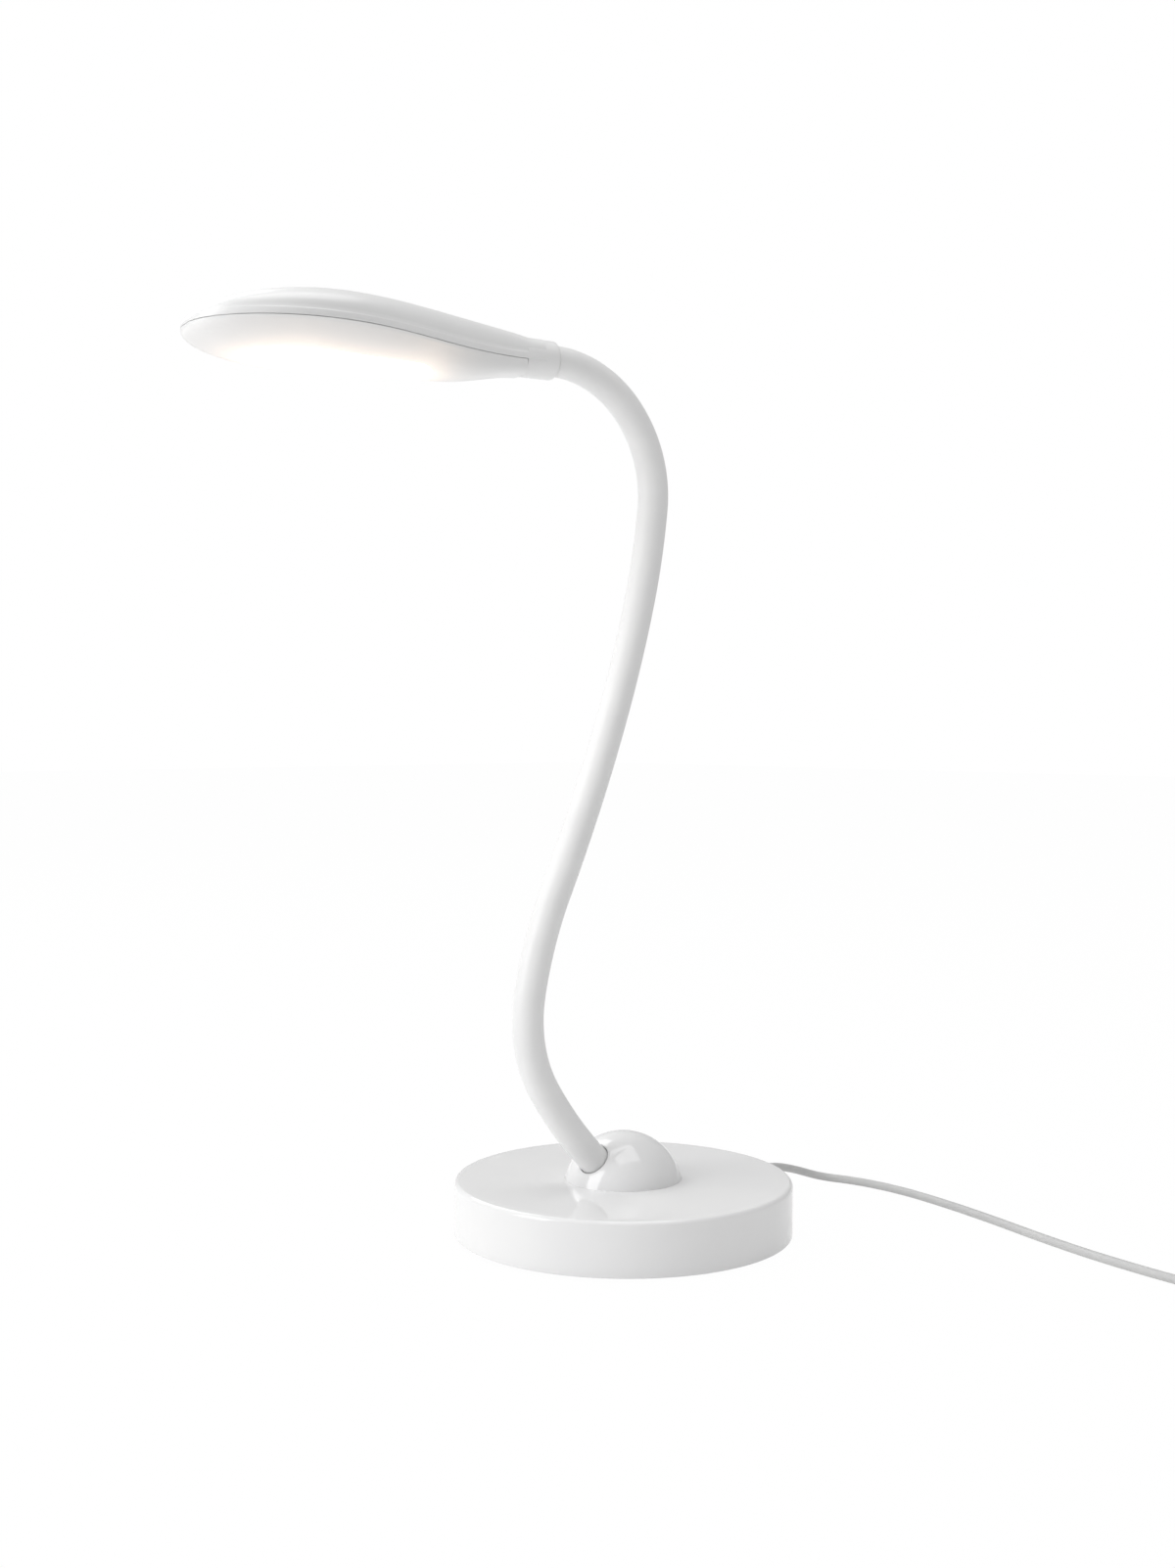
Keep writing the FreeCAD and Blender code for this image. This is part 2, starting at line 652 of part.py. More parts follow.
def make_plug():
    """Moulded body, metal shell, tongue and four contacts, on top of the coil."""
    low = Size(0.1, "0.1") + size("cord_diameter") * size("coil_layers") + 0.2
    x, y = coil_middle.x - coil_ring, coil_middle.y - 6
    body = block("plug_block", size("plug_width"), size("plug_body"), size("plug_height"),
                 at(x - float(size("plug_width")) / 2, y, low))
    rounded = doc.addObject("Part::Fillet", "plug_rounded")
    rounded.Base = body
    rounded.Edges = [(i + 1, 1.5, 1.5) for i in range(12)]
    node("plug_body", rounded)
    end, middle_z = y + float(size("plug_body")), float(low + size("plug_height") / 2)
    wide, high = size("plug_shell_width"), size("plug_shell_height")
    wall = size("plug_shell_wall")
    shell = cut(
        "shell", block("shell_out", wide, size("plug_shell_length"), high,
                       at(x - float(wide) / 2, end, middle_z - float(high) / 2)),
        block("shell_in", wide - wall * 2, size("plug_shell_length") + 1, high - wall * 2,
              at(x - float(wide) / 2 + float(wall), end, middle_z - float(high) / 2 + float(wall))))
    node("plug_shell", shell)
    tongue_wide = wide - wall * 2 - 0.2
    tongue = block("tongue", tongue_wide, size("plug_shell_length") - 0.5, Size(1.8, "1.8"),
                   at(x - float(tongue_wide) / 2, end, middle_z + float(high) / 2 - float(wall) - 1.9))
    node("plug_tongue", tongue)
    strips = [block(f"contact_{i}", Size(1.2, "1.2"), size("plug_shell_length") - 3, Size(0.2, "0.2"),
                    at(x - 4.1 + 2.33 * i, end + 0.5, middle_z + float(high) / 2 - float(wall) - 2.1))
              for i in range(4)]
    node("plug_contacts", fuse("contacts", *strips))


# Head
length, half = float(size("head_length")), float(size("head_width")) / 2
widest, peak = float(size("head_widest")), float(size("head_peak"))
collar = float(size("collar_radius"))
collar_end = float(size("collar_length"))
SECTION_POINTS = 17


def eased(t):
    t = min(max(t, 0.0), 1.0)
    return 0.5 - 0.5 * math.cos(math.pi * t)


def nose(along):
    """1 up to the widest place, then falling to 0 at the tip as a quarter of an ellipse does."""
    t = max(0.0, (along - widest) / (length - widest))
    return math.sqrt(max(0.0, 1 - t * t))


def half_width(along):
    growing = collar + (half - collar) * eased((along - collar_end) / (widest - collar_end))
    return growing * nose(along)


def crown(along):
    """Height of the cover above the seam, on the centre line."""
    low, high = float(size("cover_root")), float(size("cover_height"))
    if along <= peak:
        t = max(0.0, (along - collar_end) / (peak - collar_end))
        return low + (high - low) * math.sin(math.pi / 2 * t) ** 0.75
    return high * (1 - ((along - peak) / (length - peak)) ** 2.2) ** 0.6


def keel(along):
    """Depth of the lower shell under the seam, on the centre line."""
    low, high = float(size("shell_root")), float(size("shell_depth"))
    return (low + (high - low) * eased((along - collar_end) / (45 - collar_end))) * nose(along) ** 0.9


def lean(along):
    """How far the lower shell's sides come in towards its flat underside."""
    grown = (half_width(along) - collar) / (half - collar)
    return float(size("shell_lean")) * max(0.0, grown)


def bow(wide, tall, inset, power):
    """Points of a rounded arch from one side to the other: squarer where power is larger."""
    points = []
    for i in range(SECTION_POINTS):
        angle = math.pi * i / (SECTION_POINTS - 1)
        across, up = math.cos(angle), math.sin(angle)
        rise = abs(up) ** (2 / power)
        points.append(((wide - inset * rise) * math.copysign(abs(across) ** (2 / power), across),
                       tall * rise))
    return points


def smooth_edge(points):
    curve = Part.BSplineCurve()
    curve.interpolate(points)
    return curve.toShape()


def arch_section(along, wide, tall, inset, power, seam, band):
    """A closed section: flat at the seam, upright over the band, then arched. Tall < 0 hangs down."""
    way = math.copysign(1.0, tall)
    arch = [Vector(along, y, seam + way * band + z)
            for y, z in bow(wide, tall - way * band, inset, power)]
    left, right = Vector(along, -wide, seam), Vector(along, wide, seam)
    edges = [Part.LineSegment(left, right).toShape()]
    if band > 0:
        edges.append(Part.LineSegment(right, arch[0]).toShape())
    edges.append(smooth_edge(arch))
    if band > 0:
        edges.append(Part.LineSegment(arch[-1], left).toShape())
    return Part.Wire(edges)


def stations(first, last):
    """Places along the head, closer together towards the tip."""
    straight = [first + (widest - first) * i / 6 for i in range(6)]
    curved = [widest + (last - widest) * math.sin(math.pi / 2 * i / 6) for i in range(7)]
    return straight + curved


CROWN_POWER, KEEL_POWER = 2.4, 3.2
seam = -float(size("seam_drop"))


def cover_loft(name, inset, first, last):
    """The cover's outer form, or that form drawn in by a wall."""
    wires = []
    for along in stations(first, last):
        band = min(float(size("band_height")), crown(along) * 0.3)
        wires.append(arch_section(along, half_width(along) - inset, crown(along) - inset, 0,
                                  CROWN_POWER, seam, band))
    return feature(name, Part.makeLoft(wires, True))


def shell_loft(name, inset, first, last, drop=0.0):
    wires = []
    for along in stations(first, last):
        wires.append(arch_section(along, half_width(along) - inset, drop + inset - keel(along),
                                  lean(along), KEEL_POWER, seam - drop, 0))
    return feature(name, Part.makeLoft(wires, True))


def tapered_slot(name, grow, low, high):
    """The window's outline, two round ends joined by tangents, grown by a margin and made solid."""
    far, near = float(size("window_far")), float(size("window_near"))
    big = float(size("window_far_radius")) + grow
    small = float(size("window_near_radius")) + grow
    tilt = math.asin((big - small) / (far - near))
    across, along = math.cos(tilt), math.sin(tilt)
    a = Vector(far - big * along, big * across, low)
    b = Vector(near - small * along, small * across, low)
    edges = [
        Part.LineSegment(a, b).toShape(),
        Part.Arc(b, Vector(near - small, 0, low), Vector(b.x, -b.y, low)).toShape(),
        Part.LineSegment(Vector(b.x, -b.y, low), Vector(a.x, -a.y, low)).toShape(),
        Part.Arc(Vector(a.x, -a.y, low), Vector(far + big, 0, low), a).toShape(),
    ]
    return feature(name, Part.Face(Part.Wire(edges)).extrude(Vector(0, 0, high - low)))


TIP_SHORT = 0.35
wall = float(size("cover_wall"))
shell_wall = float(size("shell_wall"))
floor_low = seam - float(size("shell_depth"))
floor_high = floor_low + shell_wall
board_low = floor_high + float(size("frame_height"))
board_high = board_low + float(size("led_board_thickness"))
POST_SPOTS = [(60, 0), (98, 15), (98, -15)]
button_x = float(size("button_place"))
switch_low = 0.2


def post_top(x, y):
    """A height inside the cover's wall above a post."""
    wide = half_width(x) - wall
    return seam + (crown(x) - wall) * (1 - abs(y / wide) ** CROWN_POWER) ** (1 / CROWN_POWER) + 0.8


def make_cover():
    outer = cover_loft("cover_outer", 0, collar_end - 6, length - TIP_SHORT)
    inner = cover_loft("cover_inner", wall, collar_end + 2.5, length - wall - 1.2)
    below = block("cover_below", Size(length, "200"), Size(80, "80"), Size(12, "12"),
                  at(collar_end + 2.5, -40, seam - 12))
    round_collar = cylinder("collar", size("collar_radius"), size("collar_length") + 1.6, at(0, turn=ALONG_X))
    softened = doc.addObject("Part::Fillet", "collar_soft")
    softened.Base = round_collar
    softened.Edges = [(3, 1.2, 1.2)]
    posts = []
    for i, (x, y) in enumerate(POST_SPOTS):
        posts.append(cut(f"head_post_{i}",
                         cylinder(f"head_post_out_{i}", size("head_post") / 2, post_top(x, y) - board_high,
                                  at(x, y, board_high)),
                         cylinder(f"head_post_in_{i}", size("head_pilot") / 2, 7.0, at(x, y, board_high - 1))))
    for i, side in enumerate((-1, 1)):
        y = side * (float(size("switch_board_width")) / 2 - 1.6)
        x = button_x + side * (float(size("switch_board_length")) / 2 - 1.8)
        posts.append(cylinder(f"switch_post_{i}", size("switch_post") / 2, post_top(x, y) - switch_top,
                              at(x, y, switch_top)))
    neck_way = cylinder("neck_way", neck_radius + size("entry_gap"), size("collar_depth") + 2,
                        at(-2, turn=ALONG_X))
    bolt_way = cylinder("head_bolt_way", ferrule_radius + size("ferrule_fit"), Size(20, "20"),
                        at(0, turn=ALONG_X))
    button_way = cylinder("button_way", size("button_diameter") / 2 + size("button_gap"), Size(20, "20"),
                          at(button_x, 0, 5))
    nut_way = cylinder("cover_nut_way", size("ring_nut_radius") + size("ring_nut_gap"), Size(6, "6"),
                       at(collar_end + 1.8, turn=ALONG_X))
    hollow = cut("cover_hollow", outer, inner)
    body = fuse("cover_solid", hollow, softened, *posts)
    node("head_cover", cut("cover_done", body, neck_way, bolt_way, nut_way, button_way), head_place)


switch_top = switch_low + float(size("switch_board_thickness"))


def make_lower_shell():
    gap = float(size("seam_gap"))
    outer = shell_loft("shell_outer", 0, collar_end + 1.6 + gap, length - TIP_SHORT, gap)
    inner = shell_loft("shell_inner", shell_wall, collar_end + 3.4, length - wall - 1.2, 0)
    window = tapered_slot("window", 0, floor_low - 2, floor_high + 3)
    nut_way = cylinder("shell_nut_way", size("ring_nut_radius") + size("ring_nut_gap"), Size(12, "12"),
                       at(collar_end, turn=ALONG_X))
    node("lower_shell", cut("shell_cut", outer, inner, window, nut_way), head_place)
    lens_prism = tapered_slot("lens_prism", -float(size("diffuser_gap")), floor_low - 2, floor_high + 3)
    lens_skin = shell_loft("lens_skin", float(size("diffuser_recess")), collar_end + 3.4,
                           length - wall - 1.2, 0)
    lens_hollow = shell_loft("lens_hollow", shell_wall, collar_end + 2.4, length - 1.0, 0)
    lens = cut("lens", common("lens_plate", lens_prism, lens_skin), lens_hollow)
    node("diffuser", lens, head_place)


def make_light():
    """Reflector frame over the window, LED board on it, LEDs under the board, and the screws."""
    walls = float(size("frame_wall"))
    ring_wall = cut("frame_ring", tapered_slot("frame_out", -1.5 + walls, floor_low, board_low),
                    tapered_slot("frame_in", -1.5, floor_low - 1, board_low + 1))
    inside = shell_loft("frame_room", shell_wall + 0.1, collar_end + 3.4, length - wall - 1.5, 0)
    above = tapered_slot("frame_above", walls, seam - 0.5, board_low)
    node("reflector_frame", common("frame", ring_wall, fuse("frame_space", inside, above)), head_place)
    board = tapered_slot("led_board_plate", -1.5 + walls, board_low, board_high)
    holes = [cylinder(f"led_hole_{i}", size("head_pilot") / 2 + 0.2, Size(6, "6"), at(x, y, board_low - 2))
             for i, (x, y) in enumerate(POST_SPOTS)]
    node("led_board", cut("led_board_cut", board, *holes), head_place)
    chips = []
    side, tall = size("led_size"), size("led_height")
    pitch = float(size("led_pitch"))
    for column in range(6):
        for row in (-0.8, 0.8):
            x = 64 + pitch * column
            if column == 0:
                row = row * 0.8
            chips.append(block(f"led_{len(chips)}", side, side, tall,
                               at(x + 5 - float(side) / 2, row * 9 - float(side) / 2, board_low - float(tall))))
    node("led_chips", fuse("leds", *chips), head_place)
    screws = []
    for i, (x, y) in enumerate(POST_SPOTS):
        shank = cylinder(f"head_shank_{i}", size("head_pilot") / 2 - 0.05, Size(6, "6"),
                         at(x, y, board_low - 0.9))
        cap = cylinder(f"head_cap_{i}", Size(1.8, "1.8"), Size(0.9, "0.9"), at(x, y, board_low - 0.95))
        screws.append(fuse(f"head_screw_{i}", shank, cap))
    node("head_screws", fuse("head_screw_group", *screws), head_place)


def make_head_clamp():
    """Ferrule on the tube's upper end, and its nut inside the cover."""
    low = size("collar_depth") + 0.2
    length_on = Size(9, "9")
    ferrule = cut("head_ferrule_cut",
                  cylinder("head_ferrule_out", ferrule_radius, length_on, at(low, turn=ALONG_X)),
                  cylinder("head_ferrule_in", tube_radius + size("ferrule_fit"), length_on + 2,
                           at(low - 1, turn=ALONG_X)))
    node("head_ferrule", ferrule, head_place)
    start = collar_end + 2.1
    outside = cylinder("ring_nut_out", size("ring_nut_radius"), size("ring_nut_thickness"),
                       at(start, turn=ALONG_X))
    inside = cylinder("ring_nut_in", ferrule_radius + size("ferrule_fit"), size("ring_nut_thickness") + 2,
                      at(start - 1, turn=ALONG_X))
    slots = block("ring_nut_slots", Size(1.2, "1.2"), size("ring_nut_radius") * 3, Size(1.4, "1.4"),
                  at(start + float(size("ring_nut_thickness")) - 1,
                     -1.5 * float(size("ring_nut_radius")), -0.7))
    node("head_nut", cut("ring_nut", outside, inside, slots), head_place)


def make_switch():
    """Push button in the cover's crown over a switch on its own small board."""
    plate = block("switch_plate", size("switch_board_length"), size("switch_board_width"),
                  size("switch_board_thickness"),
                  at(button_x - float(size("switch_board_length")) / 2,
                     -float(size("switch_board_width")) / 2, switch_low))
    node("switch_board", plate, head_place)
    side = float(size("switch_size"))
    case = block("switch_case", size("switch_size"), size("switch_size"), size("switch_height"),
                 at(button_x - side / 2, -side / 2, switch_top))
    node("switch_body", case, head_place)
    case_top = switch_top + float(size("switch_height"))
    crown_top = seam + crown(button_x) + float(size("button_proud"))
    travel = float(size("button_travel"))
    stem_low = case_top + travel + 0.1
    cap_low = crown_top - 3.4
    cap = cylinder("button_cap", size("button_diameter") / 2, crown_top - cap_low,
                   at(button_x, 0, crown_top, UPSIDE_DOWN))
    domed = doc.addObject("Part::Fillet", "button_soft")
    domed.Base = cap
    domed.Edges = [(3, 0.8, 0.8)]
    stem = cylinder("button_stem", Size(1.6, "1.6"), cap_low - stem_low + 0.2, at(button_x, 0, stem_low))
    node("power_button", fuse("button", domed, stem), head_place)


def make_wires():
    """Lamp wire from the driver board into the neck, and from the neck to the LED board."""
    thick = float(size("wire_diameter")) - 0.6
    end = dome_place.multVec(Vector(0, 0, float(size("neck_entry") - size("tube_stub")) - 0.2))
    toward = stretches[0].ahead * -1
    points = [end, end + toward * 4, Vector(end.x - 6.5, 1, end.z - 5.2), Vector(-12, 3.5, 15.4),
              Vector(float(board_edge() + size("board_length")) + 0.3, 3.5, 15.3)]
    node("base_wire", tube_along("base_wire_run", points, thick))
    start = float(size("collar_depth")) + 9.3
    inside = [Vector(start, 0, 0), Vector(start + 4, 0, -0.6), Vector(start + 13, 0, -3.0),
              Vector(start + 22, 0, board_high + 1.6), Vector(52, 3, board_high + 1.0)]
    node("head_wire", tube_along("head_wire_run", inside, thick), head_place)


make_base_cover()
make_dome()
make_base_floor()
make_driver()
make_neck_clamp()
make_cord()
make_coil()
make_plug()
make_cover()
make_lower_shell()
make_light()
make_head_clamp()
make_switch()
make_wires()
doc.recompute()

# Checks before anything is written
faults = [o.Name for o in doc.Objects if "Invalid" in o.State or "Error" in o.State]
for label, thing in nodes.items():
    if thing.Shape.isNull() or not thing.Shape.isValid() or not thing.Shape.Solids:
        faults.append(label)
if faults:
    raise RuntimeError("not sound: " + ", ".join(faults))

os.makedirs("parts", exist_ok=True)
for label, thing in nodes.items():
    thing.Shape.exportStep(f"parts/{label}.step")
print(len(nodes), "nodes")


def told(vector):
    return f"{vector.x:.3f} {vector.y:.3f} {vector.z:.3f}"


# Joint places and axes, in the lamp's frame
for number, (before, after) in enumerate(zip(stretches, stretches[1:]), start=1):
    flat = after.ahead.cross(after.inward) * (1 if BENDS[number] < 0 else -1)
    print(f"joint {number}: at {told(after.start)} bend {told(flat)} side {told(after.ahead.cross(flat))}")
print("head at", told(head_place.Base), "x", told(head_place.Rotation.multVec(Vector(1, 0, 0))),
      "z", told(head_place.Rotation.multVec(Vector(0, 0, 1))))
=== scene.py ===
"""Gooseneck desk lamp: its visible surfaces, materials, light and camera. Metres, in the part's own frame."""
import json
import math

import bmesh
import bpy
from mathutils import Matrix, Vector


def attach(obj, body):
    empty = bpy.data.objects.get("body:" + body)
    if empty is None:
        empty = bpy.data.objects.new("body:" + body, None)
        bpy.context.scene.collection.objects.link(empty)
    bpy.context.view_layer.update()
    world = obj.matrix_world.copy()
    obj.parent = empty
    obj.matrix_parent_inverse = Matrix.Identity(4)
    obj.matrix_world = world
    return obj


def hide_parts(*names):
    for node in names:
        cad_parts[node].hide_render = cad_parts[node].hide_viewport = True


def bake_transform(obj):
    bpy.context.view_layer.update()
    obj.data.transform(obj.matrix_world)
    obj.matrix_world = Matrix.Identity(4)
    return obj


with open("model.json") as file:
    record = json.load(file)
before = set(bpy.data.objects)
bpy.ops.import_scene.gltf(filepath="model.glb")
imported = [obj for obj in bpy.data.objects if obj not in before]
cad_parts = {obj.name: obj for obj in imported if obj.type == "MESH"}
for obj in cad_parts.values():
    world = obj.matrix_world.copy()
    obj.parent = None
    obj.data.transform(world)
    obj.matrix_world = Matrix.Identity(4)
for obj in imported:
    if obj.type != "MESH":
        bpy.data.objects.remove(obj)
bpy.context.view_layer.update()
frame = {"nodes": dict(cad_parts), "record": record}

MM = 0.001
DIAGONAL = math.sqrt(0.5)

# Camera, fitted to the photograph
CAMERA_PLACE = Vector((519.3, 498.9, 196.33)) * MM
CAMERA_DOWN = math.radians(1.893)
CAMERA_ROLL = math.radians(0.25)
FOCAL_PIXELS, IMAGE_HEIGHT, SENSOR = 1924.13, 1602, 36


def make_camera():
    data = bpy.data.cameras.new("camera")
    data.sensor_width = SENSOR
    data.lens = FOCAL_PIXELS * SENSOR / IMAGE_HEIGHT
    camera = bpy.data.objects.new("camera", data)
    bpy.context.collection.objects.link(camera)
    ahead = Vector((-DIAGONAL * math.cos(CAMERA_DOWN), -DIAGONAL * math.cos(CAMERA_DOWN),
                    -math.sin(CAMERA_DOWN)))
    right = Vector((-DIAGONAL, DIAGONAL, 0))
    up = right.cross(ahead)
    right, up = (right * math.cos(CAMERA_ROLL) + up * math.sin(CAMERA_ROLL),
                 up * math.cos(CAMERA_ROLL) - right * math.sin(CAMERA_ROLL))
    turn = Matrix((right, up, -ahead)).transposed().to_4x4()
    camera.matrix_world = Matrix.Translation(CAMERA_PLACE) @ turn
    bpy.context.scene.camera = camera


# The window's light, and the painted glow on the shell beside it (painted light, as emission) with its reach
# in millimetres
LIGHT_STRENGTH = 1.8
PAINTED_GLOW_COLOUR = (1.0, 0.72, 0.5)
PAINTED_GLOW_STRENGTH, PAINTED_GLOW_REACH = 0.42, 5.5


# Materials
class Paint:
    """A material with one shader and helpers for the nodes that feed it."""

    def __init__(self, name, colour, roughness, **sockets):
        self.material = bpy.data.materials.new(name)
        self.material.use_nodes = True
        self.tree = self.material.node_tree
        self.shader = self.tree.nodes["Principled BSDF"]
        self.shader.inputs["Base Color"].default_value = (*colour, 1)
        self.shader.inputs["Roughness"].default_value = roughness
        for socket, value in sockets.items():
            self.shader.inputs[socket.replace("_", " ")].default_value = value
        self.place = self.add("ShaderNodeTexCoord").outputs["Object"]

    def add(self, kind, **settings):
        node = self.tree.nodes.new(kind)
        for name, value in settings.items():
            setattr(node, name, value)
        return node

    def link(self, out, into):
        self.tree.links.new(out, into)

    def noise(self, scale, detail=4.0, stretch=None):
        node = self.add("ShaderNodeTexNoise")
        node.inputs["Scale"].default_value = scale
        node.inputs["Detail"].default_value = detail
        place = self.place
        if stretch is not None:
            mapping = self.add("ShaderNodeMapping")
            mapping.inputs["Scale"].default_value = stretch
            self.link(place, mapping.inputs["Vector"])
            place = mapping.outputs["Vector"]
        self.link(place, node.inputs["Vector"])
        return node.outputs["Fac"]

    def ramp(self, factor, low, high, start=0.3, end=0.7):
        node = self.add("ShaderNodeValToRGB")
        node.color_ramp.elements[0].position = start
        node.color_ramp.elements[0].color = (*low, 1)
        node.color_ramp.elements[1].position = end
        node.color_ramp.elements[1].color = (*high, 1)
        self.link(factor, node.inputs["Fac"])
        return node.outputs["Color"]

    def tint(self, factor, low, high):
        self.link(self.ramp(factor, low, high), self.shader.inputs["Base Color"])
        return self

    def vary_roughness(self, factor, low, high):
        node = self.add("ShaderNodeMapRange")
        node.inputs["To Min"].default_value = low
        node.inputs["To Max"].default_value = high
        self.link(factor, node.inputs["Value"])
        self.link(node.outputs["Result"], self.shader.inputs["Roughness"])
        return self

    def bump(self, factor, strength, depth):
        node = self.add("ShaderNodeBump")
        node.inputs["Strength"].default_value = strength
        node.inputs["Distance"].default_value = depth
        self.link(factor, node.inputs["Height"])
        normal = self.shader.inputs["Normal"]
        if normal.links:
            self.link(normal.links[0].from_socket, node.inputs["Normal"])
        self.link(node.outputs["Normal"], normal)
        return self


def grey(level):
    return (level, level, level)


def gloss_white():
    """Injection-moulded glossy white, with a faint waviness and fine haze."""
    paint = Paint("gloss_white", grey(0.8), 0.08, IOR=1.5)
    paint.tint(paint.noise(24, 2), (0.79, 0.79, 0.795), (0.815, 0.815, 0.815))
    paint.vary_roughness(paint.noise(90, 3), 0.06, 0.1)
    return paint.bump(paint.noise(70, 1), 0.03, 0.0001).material


def satin_white():
    """The neck's soft sleeve: satin, with very fine grain along it."""
    paint = Paint("satin_white", grey(0.8), 0.42, IOR=1.45)
    paint.tint(paint.noise(60, 6), (0.785, 0.785, 0.785), (0.815, 0.815, 0.812))
    paint.vary_roughness(paint.noise(220, 8), 0.36, 0.48)
    return paint.bump(paint.noise(2600, 4), 0.08, 0.00008).material


def head_white(name="head_white", painted_glow=False):
    """The head's shell: semi-gloss white. The lower one has painted light: a warm emission glow painted on it
    beside the window, fading away from it.
    """
    paint = Paint(name, grey(0.8), 0.28, IOR=1.48)
    if painted_glow:
        # Painted light: emission from the glow attribute stands in for the window's light falling on the
        # shell.
        paint.shader.inputs["Emission Color"].default_value = (*PAINTED_GLOW_COLOUR, 1)
        glow = paint.add("ShaderNodeAttribute", attribute_name="glow")
        paint.link(glow.outputs["Fac"], paint.shader.inputs["Emission Strength"])
    paint.tint(paint.noise(30, 2), (0.795, 0.795, 0.795), (0.81, 0.81, 0.808))
    paint.vary_roughness(paint.noise(90, 2), 0.27, 0.31)
    return paint.bump(paint.noise(60, 1), 0.01, 0.00005).material


def cord_grey():
    """Soft pale grey jacket with a fine drawn grain."""
    paint = Paint("cord_grey", grey(0.55), 0.5, IOR=1.48)
    paint.tint(paint.noise(120, 3), (0.5, 0.5, 0.5), (0.52, 0.52, 0.515))
    return paint.bump(paint.noise(1200, 2), 0.02, 0.00003).material


def rubber(name, level):
    paint = Paint(name, grey(level), 0.75)
    paint.tint(paint.noise(140, 8), grey(level * 0.85), grey(level * 1.2))
    return paint.bump(paint.noise(1100, 6), 0.35, 0.0002).material


def metal(name, colour, roughness, stretch=None):
    paint = Paint(name, colour, roughness, Metallic=1.0)
    paint.tint(paint.noise(200, 6, stretch), tuple(c * 0.88 for c in colour), colour)
    paint.vary_roughness(paint.noise(500, 6, stretch), roughness * 0.75, min(1.0, roughness * 1.3))
    return paint.bump(paint.noise(900, 4, stretch), 0.1, 0.0001).material


def matt(name, colour, roughness=0.6):
    paint = Paint(name, colour, roughness)
    darker, lighter = (tuple(min(1.0, c * share) for c in colour) for share in (0.93, 1.05))
    paint.tint(paint.noise(150, 6), darker, lighter)
    return paint.bump(paint.noise(900, 4), 0.15, 0.0001).material


def lit_diffuser():
    """Milky window with the light behind it, its warmth varying a little."""
    paint = Paint("lit_diffuser", (0.9, 0.89, 0.87), 0.4)
    colour = paint.ramp(paint.noise(40, 3), (1.0, 0.86, 0.72), (1.0, 0.9, 0.8))
    paint.link(colour, paint.shader.inputs["Emission Color"])
    paint.shader.inputs["Emission Strength"].default_value = LIGHT_STRENGTH
    return paint.bump(paint.noise(1500, 4), 0.05, 0.0001).material


# Meshes
SAME_PLACE, FIT_GAP = 1e-7, 0.05 * MM


def new_piece(name, points, faces, material, body=None, sharp=40):
    """A smooth-shaded mesh object, riding on a body unless that is settled later."""
    mesh = bpy.data.meshes.new(name)
    mesh.from_pydata([tuple(p) for p in points], [], faces)
    work = bmesh.new()
    work.from_mesh(mesh)
    bmesh.ops.remove_doubles(work, verts=work.verts, dist=SAME_PLACE)
    bmesh.ops.recalc_face_normals(work, faces=work.faces)
    work.to_mesh(mesh)
    work.free()
    mesh.shade_smooth()
    mesh.set_sharp_from_angle(angle=math.radians(sharp))
    mesh.materials.append(material)
    thing = bpy.data.objects.new(name, mesh)
    bpy.context.collection.objects.link(thing)
    if body is not None:
        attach(thing, body)
    return thing


def rings_mesh(rings, closed_ends=True):
    """Points and faces of a skin over rings of equal count."""
    count = len(rings[0])
    points = [p for ring in rings for p in ring]
    faces = []
    for row in range(len(rings) - 1):
        for i in range(count):
            j = (i + 1) % count
            faces.append((row * count + i, row * count + j, (row + 1) * count + j, (row + 1) * count + i))
    if closed_ends:
        last = (len(rings) - 1) * count
        faces.append(tuple(reversed(range(count))))
        faces.append(tuple(range(last, last + count)))
    return points, faces


def lathe(outline, place=None, count=192):
    """Rings for an outline of (radius, height) pairs turned about Z."""
    rings = []
    for radius, high in outline:
        ring = []
        for i in range(count):
            angle = math.tau * i / count
            ring.append(Vector((radius * math.cos(angle), radius * math.sin(angle), high)))
        rings.append([place @ p for p in ring] if place else ring)
    return rings


def arc(centre, radius, start, end, steps):
    """(radius, height) pairs along an arc, angles in degrees from the outward direction."""
    points = []
    for i in range(steps + 1):
        angle = math.radians(start + (end - start) * i / steps)
        points.append((centre[0] + radius * math.cos(angle), centre[1] + radius * math.sin(angle)))
    return points


# The neck's line
BENDS = [13.4, 46.2, 15.8, -3.2, -3.6, -4.8, -8.9, -44.4, -52.2]
TURN_AFTER, NECK_TURN, NECK_RISE, HEAD_ROLL = 7, 14.7, 42, 0.5
SEGMENT, NECK_ENTRY = 38.66 * MM, 22.5 * MM
NECK_RADIUS, NECK_STUB, COLLAR_DEPTH = 5.8 * MM, 2.5 * MM, 8.5 * MM
NECK_END, RINGS_PER_STRETCH, BLEND_REACH = len(BENDS) - 1e-6, 52, 0.38 * SEGMENT
BASE_HEIGHT, DOME_RADIUS, DOME_SINK = 21 * MM, 23 * MM, 5 * MM
DOME_CENTRE = Vector((0, 0, BASE_HEIGHT - DOME_SINK))


def turned(vector, axis, degrees):
    return Matrix.Rotation(math.radians(degrees), 3, axis) @ vector


class Stretch:
    """One arc of the neck, with a direction across it that is carried along without twist."""

    def __init__(self, start, ahead, side, across, bend):
        self.start, self.ahead, self.side, self.across, self.bend = start, ahead, side, across, bend
        self.inward = (ahead.cross(side) if bend > 0 else side.cross(ahead)).normalized()
        self.axis = ahead.cross(self.inward)
        self.radius = SEGMENT / math.radians(abs(bend))

    def at(self, part):
        """Centre, direction and carried direction at a part of the arc, 0 to 1."""
        angle = abs(self.bend) * part
        centre = self.start + self.inward * self.radius - turned(self.inward, self.axis, angle) * self.radius
        return centre, turned(self.ahead, self.axis, angle), turned(self.across, self.axis, angle)


